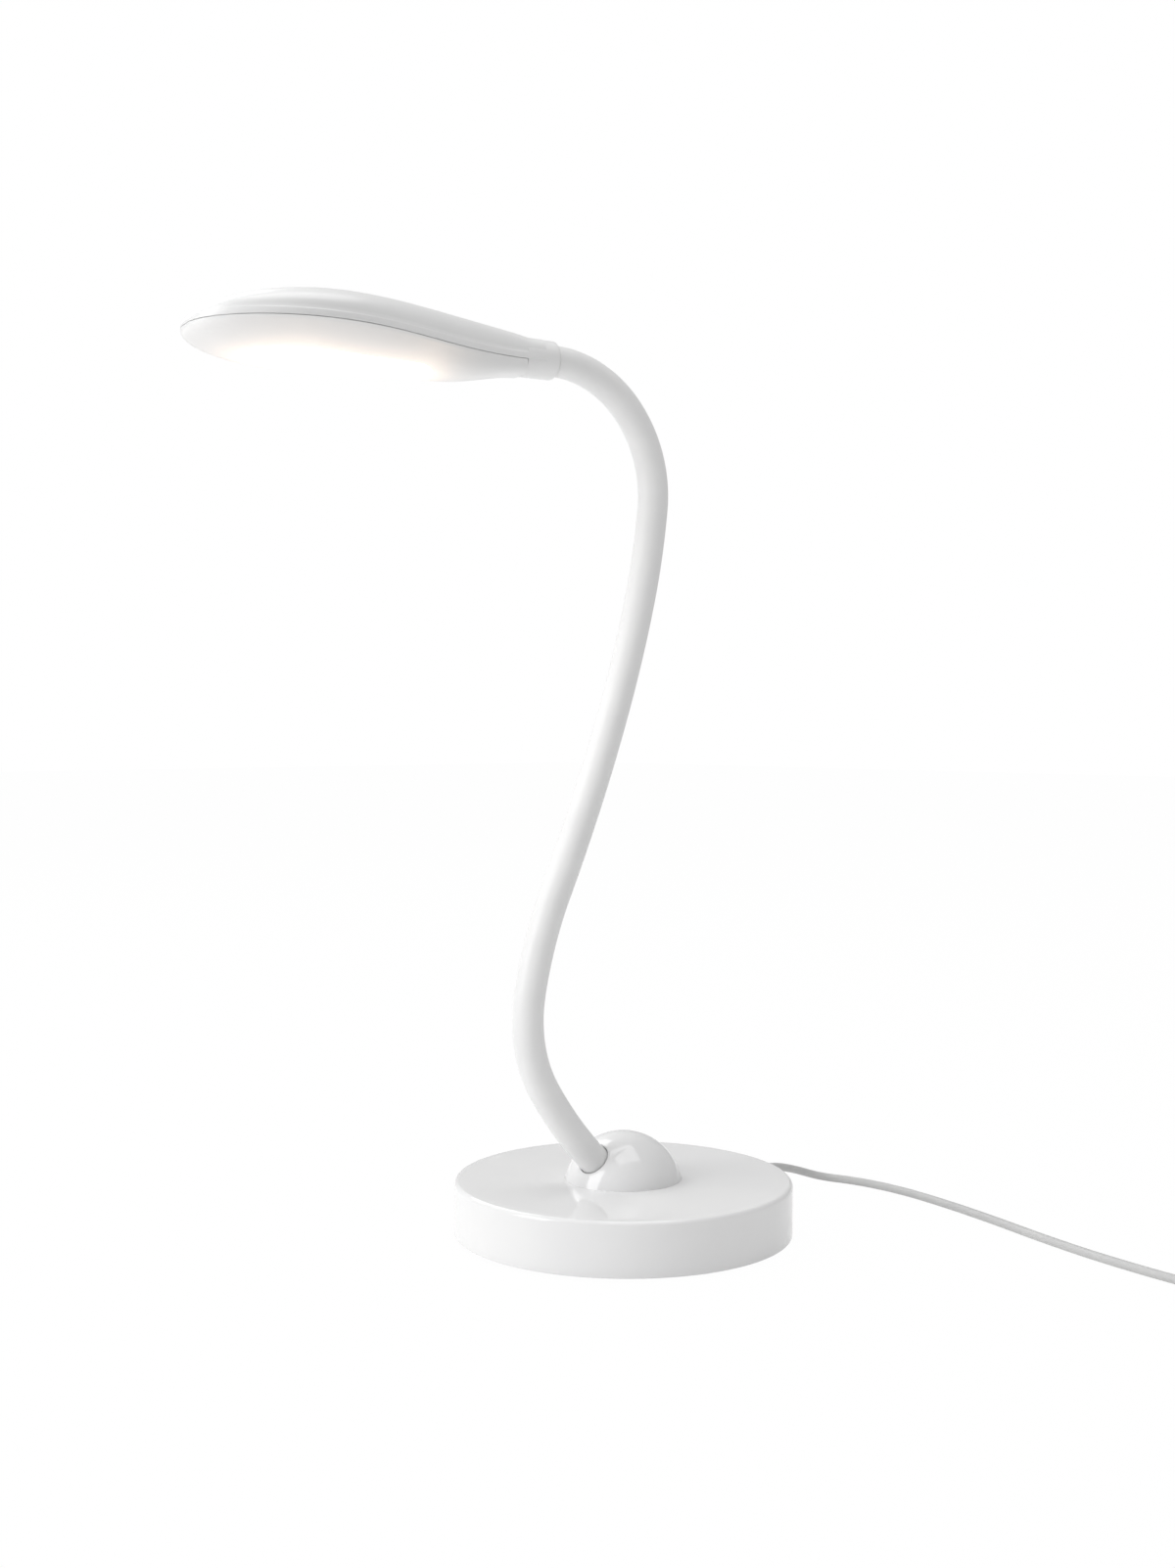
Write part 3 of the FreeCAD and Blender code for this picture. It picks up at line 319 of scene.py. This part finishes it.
def neck_line():
    ahead = turned(Vector((1, 0, 0)), Vector((0, 1, 0)), -NECK_RISE)
    side = Vector((0, 1, 0))
    across = side.copy()
    start = DOME_CENTRE + ahead * NECK_ENTRY
    line = []
    for i, bend in enumerate(BENDS):
        if i == TURN_AFTER:
            side = turned(side, ahead, -NECK_TURN)
        line.append(Stretch(start, ahead, side, across, bend))
        start, ahead, across = line[-1].at(1)
    return line


def neck_ring(centre, ahead, across, radius, count=64):
    other = ahead.cross(across)
    ring = []
    for i in range(count):
        angle = math.tau * i / count
        ring.append(centre + (across * math.cos(angle) + other * math.sin(angle)) * radius)
    return ring


def neck_rings(line, first, last):
    """Rings from one place on the neck to another, counted in stretches."""
    rings = []
    steps = round((last - first) * RINGS_PER_STRETCH)
    for i in range(steps + 1):
        along = first + (last - first) * i / steps
        number = min(int(along), len(line) - 1)
        rings.append(neck_ring(*line[number].at(along - number), NECK_RADIUS))
    return rings


def make_neck(material):
    """A smooth sleeve in ten lengths: two rigid ones at the ends, and one across each joint."""
    line = neck_line()
    centre, ahead, across = line[0].at(0)
    lead = [neck_ring(centre - ahead * NECK_STUB, ahead, across, NECK_RADIUS)]
    first = new_piece("neck_skin_0", *rings_mesh(lead + neck_rings(line, 0, 0.5)), material, "base")
    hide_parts("neck_sleeve_1")
    for joint in range(1, len(BENDS)):
        shape = rings_mesh(neck_rings(line, joint - 0.5, joint + 0.5))
        skin = new_piece(f"neck_skin_{joint}", *shape, material)
        spot, way, _ = line[joint].at(0)
        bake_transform(skin)
        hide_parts(f"neck_sleeve_{joint + 1}")
    centre, ahead, across = line[-1].at(1)
    tail = [neck_ring(centre + ahead * (COLLAR_DEPTH - 0.2 * MM), ahead, across, NECK_RADIUS)]
    shape = rings_mesh(neck_rings(line, len(BENDS) - 0.5, NECK_END) + tail)
    last = new_piece("neck_skin_9", *shape, material, "head")
    return line


# Base
BASE_RADIUS, BASE_ROUNDING, BASE_LIFT, BASE_WALL = 65 * MM, 1.8 * MM, 0.8 * MM, 2.2 * MM
BASE_TOE, DOME_LIP, DOME_FOOT = 0.4 * MM, 0.5 * MM, 1.4 * MM
ENTRY_RADIUS, WAY_DEPTH = NECK_RADIUS + 0.35 * MM, 4 * MM


def make_base(white):
    """The disc's skin with a hole for the dome, a rounded rim and a way for the cord."""
    foot = math.sqrt(DOME_RADIUS ** 2 - DOME_SINK ** 2)
    inner_top = BASE_HEIGHT - BASE_WALL
    edge = BASE_RADIUS - BASE_ROUNDING
    upright = BASE_HEIGHT - BASE_ROUNDING - BASE_LIFT
    outline = [(foot + FIT_GAP, BASE_HEIGHT)]
    outline += [(foot + (edge - foot) * i / 12, BASE_HEIGHT) for i in range(1, 12)]
    outline += arc((edge, BASE_HEIGHT - BASE_ROUNDING), BASE_ROUNDING, 90, 0, 14)
    outline += [(BASE_RADIUS, BASE_LIFT + upright * i / 8) for i in range(7, 1, -1)]
    outline += arc((BASE_RADIUS - BASE_TOE, BASE_LIFT + BASE_TOE), BASE_TOE, 0, -90, 5)
    outline += [(BASE_RADIUS - BASE_WALL, BASE_LIFT), (BASE_RADIUS - BASE_WALL, inner_top),
                (foot + FIT_GAP, inner_top), (foot + FIT_GAP, BASE_HEIGHT)]
    points, faces = rings_mesh(lathe(outline), closed_ends=False)
    cover = new_piece("base_top", points, faces, white, None, sharp=50)
    place = Matrix.Translation((-BASE_RADIUS, 0, CORD_HEIGHT)) @ Matrix.Rotation(math.pi / 2, 4, "Y")
    hole = RELIEF_RADIUS + FIT_GAP
    cut_with(cover, rings_mesh(lathe([(hole, -WAY_DEPTH), (hole, WAY_DEPTH)], place, 48)))
    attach(cover, "base")
    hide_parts("base_cover")


def make_dome(white, line):
    """The dome as rings about the neck's own axis, so that its hole has a rounded lip."""
    ahead = line[0].ahead
    place = Matrix.Translation(DOME_CENTRE) @ ahead.to_track_quat("Z", "Y").to_matrix().to_4x4()
    hole, edge = ENTRY_RADIUS, ENTRY_RADIUS + DOME_LIP
    edge_high = math.sqrt(DOME_RADIUS ** 2 - edge ** 2)
    outline = [(hole, edge_high - WAY_DEPTH), (hole, edge_high - DOME_LIP)]
    outline += arc((edge, edge_high - DOME_LIP), DOME_LIP, 180, 105, 6)
    start, end, steps = math.asin(edge / DOME_RADIUS), math.radians(150), 70
    for i in range(steps + 1):
        angle = start + (end - start) * i / steps
        outline.append((DOME_RADIUS * math.sin(angle), DOME_RADIUS * math.cos(angle)))
    points, faces = rings_mesh(lathe(outline, place, 160), closed_ends=False)
    dome = new_piece("dome", points, faces, white, None, sharp=60)
    floor = BASE_HEIGHT - BASE_WALL - DOME_FOOT
    work = bmesh.new()
    work.from_mesh(dome.data)
    bmesh.ops.bisect_plane(work, geom=work.verts[:] + work.edges[:] + work.faces[:], dist=SAME_PLACE,
                           plane_co=(0, 0, floor), plane_no=(0, 0, -1), clear_outer=True)
    work.to_mesh(dome.data)
    work.free()
    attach(dome, "base")
    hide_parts("base_dome")


def cut_with(thing, tool_mesh, operation="DIFFERENCE"):
    """Applies a boolean with a closed tool made of points and faces, then drops the tool."""
    mesh = bpy.data.meshes.new("tool")
    mesh.from_pydata([tuple(p) for p in tool_mesh[0]], [], tool_mesh[1])
    tool = bpy.data.objects.new("tool", mesh)
    bpy.context.collection.objects.link(tool)
    work = bmesh.new()
    work.from_mesh(mesh)
    bmesh.ops.recalc_face_normals(work, faces=work.faces)
    work.to_mesh(mesh)
    work.free()
    change = thing.modifiers.new("cut", "BOOLEAN")
    change.operation, change.object, change.solver = operation, tool, "EXACT"
    bpy.context.view_layer.update()
    done = bpy.data.meshes.new_from_object(thing.evaluated_get(bpy.context.evaluated_depsgraph_get()))
    thing.modifiers.clear()
    material = thing.data.materials[0]
    thing.data = done
    done.materials.clear()
    done.materials.append(material)
    bpy.data.objects.remove(tool)
    done.shade_smooth()
    done.set_sharp_from_angle(angle=math.radians(35))


# Cord, with the route's points repeated from the part's source
CORD_DIAMETER, CORD_HEIGHT = 3.3 * MM, 11 * MM
RELIEF_LENGTH, RELIEF_RADIUS, RELIEF_TIP = 12 * MM, 3.6 * MM, 2.3 * MM
RELIEF_RINGS, RELIEF_GROOVE = 5, 0.33 * MM
FLOOR_LINE = CORD_DIAMETER / 2 + 0.1 * MM
CORD_EXIT = Vector((-BASE_RADIUS - RELIEF_LENGTH, 0, CORD_HEIGHT))
COIL_MIDDLE = Vector((-66, 228, 0)) * MM
COIL_RADIUS, TURN_POINTS, SHIFT_POINTS = 18 * MM, 16, 8
COIL_TURNS = [(2, 0), (1, 0), (0, 0), (0, 1), (1, 1), (2, 1), (2, 2), (1, 2), (0, 2), (0, 3)]
PLUG_HEIGHT, CLIMB_POINTS, CLIMB_FROM, CLIMB_RADIUS = 17.5 * MM, 15, 5, COIL_RADIUS + 0.9 * MM


def cord_points():
    """The whole route: out of the base, down to the floor, round behind the lamp and into the coil."""
    free = [(-88, 0, 11), (-102, 0.5, 7.8), (-116, 5, 2.6)]
    lying = [(-124, 18), (-124.5, 40), (-119.5, 66), (-112, 93), (-103, 120), (-95, 149), (-89, 183.5)]
    points = [CORD_EXIT] + [Vector(p) * MM for p in free]
    points += [Vector((x * MM, y * MM, FLOOR_LINE)) for x, y in lying]
    points.append(COIL_MIDDLE + Vector((-21.3 * MM, -12.1 * MM, FLOOR_LINE)))
    return points + coil_points()


def coil_points():
    """The put-away turns, wound clockwise from the outside, then up to the plug on top."""
    swell = 1 / (0.75 + 0.25 * math.cos(math.tau / TURN_POINTS))
    places = [Vector((COIL_RADIUS + (column - 1) * CORD_DIAMETER, FLOOR_LINE + layer * CORD_DIAMETER))
              for column, layer in COIL_TURNS]
    points = []

    def add_point(step, radius, high):
        angle = math.pi - math.tau * step / TURN_POINTS
        points.append(COIL_MIDDLE + Vector((radius * swell * math.cos(angle),
                                            radius * swell * math.sin(angle), high)))

    for number, place in enumerate(places):
        following = places[min(number + 1, len(places) - 1)]
        for i in range(TURN_POINTS):
            part = max(0.0, (i - TURN_POINTS + SHIFT_POINTS) / SHIFT_POINTS)
            add_point(i, *place.lerp(following, part))
    inner, low = places[-1]
    for i in range(CLIMB_POINTS):
        part = max(0.0, (i - CLIMB_FROM) / (CLIMB_POINTS - CLIMB_FROM))
        add_point(i, inner + (CLIMB_RADIUS - inner) * i / CLIMB_POINTS, low + (PLUG_HEIGHT - low) * part)
    points.append(COIL_MIDDLE + Vector((-16.6 * MM, -9.4 * MM, PLUG_HEIGHT)))
    points.append(COIL_MIDDLE + Vector((-COIL_RADIUS, -5.9 * MM, PLUG_HEIGHT)))
    return points


def make_cord(material):
    curve = bpy.data.curves.new("power_cord", "CURVE")
    curve.dimensions = "3D"
    curve.bevel_depth = CORD_DIAMETER / 2
    curve.bevel_resolution = 5
    curve.resolution_u = 8
    curve.use_fill_caps = True
    route = cord_points()
    spline = curve.splines.new("NURBS")
    spline.points.add(len(route) - 1)
    for point, spot in zip(spline.points, route):
        point.co = (*spot, 1)
    spline.order_u = 3
    spline.use_endpoint_u = True
    curve.materials.append(material)
    cord = bpy.data.objects.new("power_cord", curve)
    bpy.context.collection.objects.link(cord)
    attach(cord, "base")
    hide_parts("cord", "cord_coil")


def make_relief(material):
    """Tapered strain relief with rings cut into it."""
    bore = CORD_DIAMETER / 2 + FIT_GAP
    outline = [(bore, -WAY_DEPTH), (RELIEF_RADIUS, -WAY_DEPTH), (RELIEF_RADIUS, 0)]
    pitch = RELIEF_LENGTH / (RELIEF_RINGS + 0.6)
    for i in range(RELIEF_RINGS):
        for part, sunk in ((0.12, 0), (0.5, 0), (0.62, RELIEF_GROOVE), (0.88, RELIEF_GROOVE), (1.0, 0)):
            along = (i + part) * pitch
            radius = RELIEF_RADIUS + (RELIEF_TIP - RELIEF_RADIUS) * along / RELIEF_LENGTH
            outline.append((radius - sunk, along))
    outline += [(RELIEF_TIP + FIT_GAP, RELIEF_LENGTH - 0.3 * MM), (RELIEF_TIP - 0.25 * MM, RELIEF_LENGTH),
                (bore, RELIEF_LENGTH)]
    outline.append(outline[0])
    place = Matrix.Translation((-BASE_RADIUS, 0, CORD_HEIGHT)) @ Matrix.Rotation(-math.pi / 2, 4, "Y")
    shape = rings_mesh(lathe(outline, place, 48), closed_ends=False)
    relief = new_piece("relief_boot", *shape, material, "base")
    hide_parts("strain_relief")


# Head, in its own frame: x from the collar's mouth to the tip, z up
HEAD_LENGTH, HEAD_HALF, WIDEST, PEAK = 142.0, 31.0, 100.0, 85.0
COLLAR, COLLAR_END, SEAM, SEAM_GAP = 7.2, 12.4, -1.8, 0.2
COVER_ROOT, COVER_HEIGHT, BAND = 9.0, 14.8, 2.4
SHELL_ROOT, SHELL_DEPTH, SHELL_LEAN = 5.4, 9.3, 8.0
COVER_POWER, SHELL_POWER, TIP_SHORT = 2.4, 3.2, 0.35
WINDOW_FAR, WINDOW_FAR_RADIUS, WINDOW_NEAR, WINDOW_NEAR_RADIUS = 104.0, 19.5, 65.0, 14.0
BUTTON_PLACE, BUTTON_RADIUS, BUTTON_GAP = 36.0, 4.5, 0.3


def eased(t):
    t = min(max(t, 0.0), 1.0)
    return 0.5 - 0.5 * math.cos(math.pi * t)


def nose(along):
    t = max(0.0, (along - WIDEST) / (HEAD_LENGTH - WIDEST))
    return math.sqrt(max(0.0, 1 - t * t))


def half_width(along):
    return (COLLAR + (HEAD_HALF - COLLAR) * eased((along - COLLAR_END) / (WIDEST - COLLAR_END))) * nose(along)


def crown(along):
    if along <= PEAK:
        t = max(0.0, (along - COLLAR_END) / (PEAK - COLLAR_END))
        return COVER_ROOT + (COVER_HEIGHT - COVER_ROOT) * math.sin(math.pi / 2 * t) ** 0.75
    return COVER_HEIGHT * (1 - ((along - PEAK) / (HEAD_LENGTH - PEAK)) ** 2.2) ** 0.6


def keel(along):
    return (SHELL_ROOT + (SHELL_DEPTH - SHELL_ROOT) * eased((along - COLLAR_END) / (45 - COLLAR_END))) \
        * nose(along) ** 0.9


def lean(along):
    return SHELL_LEAN * max(0.0, (half_width(along) - COLLAR) / (HEAD_HALF - COLLAR))


def bow(wide, tall, inset, power, count):
    """Points of a rounded arch from one side to the other, evenly turned."""
    points = []
    for i in range(count + 1):
        angle = math.pi * i / count
        across, up = math.cos(angle), math.sin(angle)
        rise = abs(up) ** (2 / power)
        reach = math.copysign(abs(across) ** (2 / power), across)
        points.append(((wide - inset * rise) * reach, tall * rise))
    return points


def stations(first, last, straight=54, curved=44):
    """Places along the head, closer together towards the tip."""
    places = [first + (WIDEST - first) * i / straight for i in range(straight)]
    return places + [WIDEST + (last - WIDEST) * math.sin(math.pi / 2 * i / curved) for i in range(curved + 1)]


CREASE_IN, CREASE_RISE = 0.35, 0.5


def cover_ring(along):
    """The cover's section: rounded lower edge, upright band, a soft step in, then the arch."""
    wide, tall = half_width(along), crown(along)
    size = min(1.0, wide / 8)
    band = min(BAND, tall * 0.3)
    step, rise, edge = CREASE_IN * size, CREASE_RISE * size, 0.25 * size
    side = [(wide - edge, 0.0), (wide - edge * 0.3, edge * 0.3), (wide, edge), (wide, band * 0.5),
            (wide, band - rise * 0.7), (wide - step * 0.15, band - rise * 0.35), (wide - step * 0.5, band),
            (wide - step * 0.85, band + rise * 0.4)]
    arch = bow(wide - step, tall - band - rise, 0, COVER_POWER, 64)
    arch = [(y, z + band + rise) for y, z in arch[1:-1]]
    ring = side + arch + [(-y, z) for y, z in reversed(side)]
    return [Vector((along, y, SEAM + z)) for y, z in ring]


def shell_ring(along, inset, drop):
    """The lower shell's section: flat at the seam, leaning sides, a nearly flat underside."""
    wide, deep = half_width(along) - inset, keel(along) - drop - inset
    size = min(1.0, wide / 8)
    edge = 0.25 * size
    arch = bow(wide, deep, lean(along), SHELL_POWER, 72)
    arch = [(y, z) for y, z in arch if z > edge]
    side = [(wide - edge, 0.0), (wide - edge * 0.3, edge * 0.3)]
    ring = side + arch + [(-y, z) for y, z in reversed(side)]
    return [Vector((along, y, SEAM - drop - z)) for y, z in ring]


def even_rings(rings):
    """Keeps only rings with the commonest number of points."""
    count = max(len(ring) for ring in rings)
    return [ring for ring in rings if len(ring) == count]


def slot_prism(grow, low, high, count=40):
    """The window's outline, two round ends joined by straight sides, as a closed prism."""
    big, small = WINDOW_FAR_RADIUS + grow, WINDOW_NEAR_RADIUS + grow
    tilt = math.asin((big - small) / (WINDOW_FAR - WINDOW_NEAR))
    outline = []
    for i in range(count + 1):
        angle = -(math.pi / 2 + tilt) + (math.pi + 2 * tilt) * i / count
        outline.append((WINDOW_FAR + big * math.cos(angle), big * math.sin(angle)))
    for i in range(count + 1):
        angle = math.pi / 2 + tilt + (math.pi - 2 * tilt) * i / count
        outline.append((WINDOW_NEAR + small * math.cos(angle), small * math.sin(angle)))
    rings = [[Vector((x, y, z)) for x, y in outline] for z in (low, high)]
    return rings_mesh(rings)


def head_mesh(place, shape):
    """Points and faces in the head's frame and millimetres, moved into the lamp's frame in metres."""
    points, faces = shape
    return [place @ (p * MM) for p in points], faces


def window_distance(x, y):
    """How far a point of the shell lies outside the window's outline, in the head's frame."""
    part = min(1.0, max(0.0, (x - WINDOW_NEAR) / (WINDOW_FAR - WINDOW_NEAR)))
    radius = WINDOW_NEAR_RADIUS + (WINDOW_FAR_RADIUS - WINDOW_NEAR_RADIUS) * part
    return math.hypot(x - (WINDOW_NEAR + part * (WINDOW_FAR - WINDOW_NEAR)), y) - radius


def add_painted_glow(shell, place):
    """A strength of painted glow at each point of the shell, falling off away from the window: painted light
    standing in for the window's light on the shell.
    """
    back = place.inverted()
    glow = shell.data.attributes.new("glow", "FLOAT", "POINT")
    for vertex, value in zip(shell.data.vertices, glow.data):
        spot = (back @ vertex.co) / MM
        away = max(0.0, window_distance(spot.x, spot.y))
        value.value = PAINTED_GLOW_STRENGTH * math.exp(-away / PAINTED_GLOW_REACH) if spot.z < SEAM - 1 else 0.0


def cover_height(along, across):
    """Height of the cover's arch at a place on it, in the head's frame."""
    wide = half_width(along) - CREASE_IN
    foot = BAND + CREASE_RISE
    tall = crown(along) - foot
    return SEAM + foot + tall * (1 - (abs(across) / wide) ** COVER_POWER) ** (1 / COVER_POWER)


def add_button(white, place):
    """A push button that continues the cover's surface, a hair below it, with a rounded edge."""
    low, sunk, soft = 8.2, 0.08, 0.3
    rings = []
    for radius, drop in ((BUTTON_RADIUS, None), (BUTTON_RADIUS, soft), (BUTTON_RADIUS - 0.1, 0.1),
                         (BUTTON_RADIUS - soft, 0.0), (3.0, 0.0), (1.5, 0.0), (0.3, 0.0)):
        ring = []
        for i in range(96):
            angle = math.tau * i / 96
            x, y = BUTTON_PLACE + radius * math.cos(angle), radius * math.sin(angle)
            ring.append(Vector((x, y, low if drop is None else cover_height(x, y) - sunk - drop)))
        rings.append(ring)
    button = new_piece("button_cap", *head_mesh(place, rings_mesh(rings)), white, "button", sharp=60)
    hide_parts("power_button")


def make_head(white, painted_glow, line, lit):
    centre, ahead, _ = line[-1].at(1)
    side = line[-1].side
    up = ahead.cross(side)
    turn = Matrix((ahead, side, up)).transposed().to_4x4()
    place = Matrix.Translation(centre) @ turn @ Matrix.Rotation(math.radians(HEAD_ROLL), 4, "X")

    rings = [cover_ring(x) for x in stations(COLLAR_END - 6, HEAD_LENGTH - TIP_SHORT)]
    cover = new_piece("head_top", *head_mesh(place, rings_mesh(rings)), white)
    way = Matrix.Rotation(math.pi / 2, 4, "Y")
    hole = ENTRY_RADIUS / MM
    cut_with(cover, head_mesh(place, rings_mesh(lathe([(hole, -3), (hole, COLLAR_END + 1)], way, 64))))
    button_way = Matrix.Translation((BUTTON_PLACE, 0, 0))
    gap = BUTTON_RADIUS + BUTTON_GAP
    cut_with(cover, head_mesh(place, rings_mesh(lathe([(gap, 6), (gap, 20)], button_way, 64))))
    add_button(white, place)
    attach(cover, "head")
    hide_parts("head_cover")

    soft, lip = 1.2, 0.35
    outline = [(hole, COLLAR_END), (hole, lip)] + arc((hole + lip, lip), lip, 180, 270, 5)
    outline += arc((COLLAR - soft, soft), soft, -90, 0, 10)
    outline += [(COLLAR, COLLAR_END * i / 8 + soft * (1 - i / 8)) for i in range(1, 8)]
    spigot, shoulder, end = COLLAR - 0.85, COLLAR_END + 1.5, COLLAR_END + 3.0
    outline += [(COLLAR, shoulder), (spigot, shoulder), (spigot, end), (hole, end), (hole, COLLAR_END)]
    shape = head_mesh(place, rings_mesh(lathe(outline, way, 128), closed_ends=False))
    collar = new_piece("head_collar", *shape, white, "head")

    last = HEAD_LENGTH - TIP_SHORT
    rings = even_rings([shell_ring(x, 0, SEAM_GAP) for x in stations(COLLAR_END + 2.0, last)])
    floor = SEAM - SHELL_DEPTH
    shell = new_piece("head_shell", *head_mesh(place, rings_mesh(rings)), painted_glow)
    cut_with(shell, head_mesh(place, slot_prism(0, floor - 2, floor + 1.6)))
    # Painted light: the glow attribute paints the window's light onto the shell round the window.
    add_painted_glow(shell, place)
    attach(shell, "head")
    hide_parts("lower_shell")

    rings = even_rings([shell_ring(x, 0.3, 0) for x in stations(COLLAR_END + 3.4, last - 1)])
    window = new_piece("window", *head_mesh(place, rings_mesh(rings)), lit)
    cut_with(window, head_mesh(place, slot_prism(-0.15, floor - 2, floor + 1.5)), "INTERSECT")
    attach(window, "head")
    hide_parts("diffuser")
    return place


# Materials of the frame's own pieces
def paint_frame(white):
    looks = {
        "white_gloss": white,
        "white_satin": satin_white(),
        "foot_rubber": rubber("foot_rubber", 0.05),
        "steel": metal("steel", (0.6, 0.6, 0.61), 0.35),
        "ballast_iron": metal("ballast_iron", (0.2, 0.2, 0.21), 0.6),
        "screw_steel": metal("screw_steel", (0.55, 0.55, 0.56), 0.3),
        "circuit_board": matt("circuit_board", (0.8, 0.82, 0.8), 0.4),
        "board_parts": matt("board_parts", (0.06, 0.06, 0.065), 0.5),
        "cord_plastic": cord_grey(),
        "tie_plastic": matt("tie_plastic", (0.6, 0.6, 0.6), 0.5),
        "plug_metal": metal("plug_metal", (0.72, 0.72, 0.73), 0.22, (1, 6, 1)),
        "tongue_plastic": matt("tongue_plastic", (0.8, 0.8, 0.8), 0.5),
        "contact_brass": metal("contact_brass", (0.85, 0.65, 0.3), 0.25),
        "wire_cover": rubber("wire_cover", 0.5),
        "diffuser_plastic": matt("plain_diffuser", (0.9, 0.9, 0.88), 0.4),
        "led_yellow": matt("led_yellow", (0.9, 0.75, 0.3), 0.4),
    }
    slots = {entry["node"]: entry["material_slot"] for entry in frame["record"]["subparts"]}
    for name, thing in frame["nodes"].items():
        for i in range(len(thing.material_slots)):
            thing.material_slots[i].material = looks[slots[name]]
    return looks


# Stage and light
FLOOR_WHITE = 0.985
WORLD_LEVEL = 0.46
FLOOR_HALF, FLOOR_LEVEL = 6.0, -0.0004


def math_node(tree, operation, first, second):
    """A Math node fed by two outputs, or by an output and a number."""
    node = tree.nodes.new("ShaderNodeMath")
    node.operation = operation
    tree.links.new(first, node.inputs[0])
    if isinstance(second, float):
        node.inputs[1].default_value = second
    else:
        tree.links.new(second, node.inputs[1])
    return node.outputs[0]


def floor_material():
    """Pale floor that the camera and mirrors see as white, still with the lamp's shadow."""
    material = bpy.data.materials.new("floor")
    material.use_nodes = True
    tree = material.node_tree
    shader = tree.nodes["Principled BSDF"]
    shader.inputs["Base Color"].default_value = (0.92, 0.92, 0.92, 1)
    shader.inputs["Roughness"].default_value = 0.9
    shader.inputs["Specular IOR Level"].default_value = 0.1
    path = tree.nodes.new("ShaderNodeLightPath").outputs
    mirrored = math_node(tree, "MAXIMUM", path["Is Glossy Ray"], path["Is Transmission Ray"])
    seen = math_node(tree, "MAXIMUM", path["Is Camera Ray"], mirrored)
    glow = tree.nodes.new("ShaderNodeEmission")
    glow.inputs["Color"].default_value = (1, 1, 1, 1)
    mix = tree.nodes.new("ShaderNodeMixShader")
    tree.links.new(math_node(tree, "MULTIPLY", seen, FLOOR_WHITE), mix.inputs["Fac"])
    tree.links.new(shader.outputs[0], mix.inputs[1])
    tree.links.new(glow.outputs[0], mix.inputs[2])
    tree.links.new(mix.outputs[0], tree.nodes["Material Output"].inputs["Surface"])
    return material


def make_stage():
    """A plain floor, and a world that the camera sees as white and that lights more softly."""
    corners = [(x * FLOOR_HALF, y * FLOOR_HALF, FLOOR_LEVEL) for x, y in ((-1, -1), (1, -1), (1, 1), (-1, 1))]
    mesh = bpy.data.meshes.new("floor")
    mesh.from_pydata(corners, [], [(0, 1, 2, 3)])
    mesh.materials.append(floor_material())
    floor = bpy.data.objects.new("floor", mesh)
    bpy.context.collection.objects.link(floor)
    world = bpy.data.worlds.new("studio")
    bpy.context.scene.world = world
    world.use_nodes = True
    tree = world.node_tree
    back = tree.nodes["Background"]
    path = tree.nodes.new("ShaderNodeLightPath").outputs
    seen = math_node(tree, "MAXIMUM", path["Is Camera Ray"], path["Is Transmission Ray"])
    level = tree.nodes.new("ShaderNodeMapRange")
    level.inputs["To Min"].default_value = WORLD_LEVEL
    level.inputs["To Max"].default_value = 1.0
    tree.links.new(seen, level.inputs["Value"])
    tree.links.new(level.outputs["Result"], back.inputs["Strength"])
    back.inputs["Color"].default_value = (1, 1, 1, 1)


def area_light(name, spot, target, width, height, watts):
    data = bpy.data.lights.new(name, "AREA")
    data.shape = "RECTANGLE"
    data.size, data.size_y = width, height
    data.energy = watts
    light = bpy.data.objects.new(name, data)
    bpy.context.collection.objects.link(light)
    way = Vector(target) - Vector(spot)
    light.matrix_world = Matrix.Translation(spot) @ way.to_track_quat("-Z", "Y").to_matrix().to_4x4()


def beside_camera(right, up, near):
    """A place given from the lamp: to the camera's right, up, and towards the camera."""
    return Vector((DIAGONAL * (near - right), DIAGONAL * (near + right), up))


def make_lights():
    middle = (0, 0, 0.15)
    area_light("key_left", beside_camera(-1.5, 0.8, 0.7), middle, 0.8, 1.3, 15.5)
    area_light("back_left", beside_camera(-0.9, 1.3, -1.1), middle, 0.9, 0.9, 8.0)
    area_light("overhead", beside_camera(0.05, 1.3, 0.1), middle, 0.9, 0.9, 6.0)


make_camera()
looks = paint_frame(gloss_white())
make_cord(looks["cord_plastic"])
make_relief(looks["cord_plastic"])
neck = make_neck(looks["white_satin"])
make_base(looks["white_gloss"])
make_dome(looks["white_gloss"], neck)
make_head(head_white(), head_white("shell_white_painted_glow", painted_glow=True), neck, lit_diffuser())
make_stage()
make_lights()
bpy.context.scene.view_settings.view_transform = "Standard"
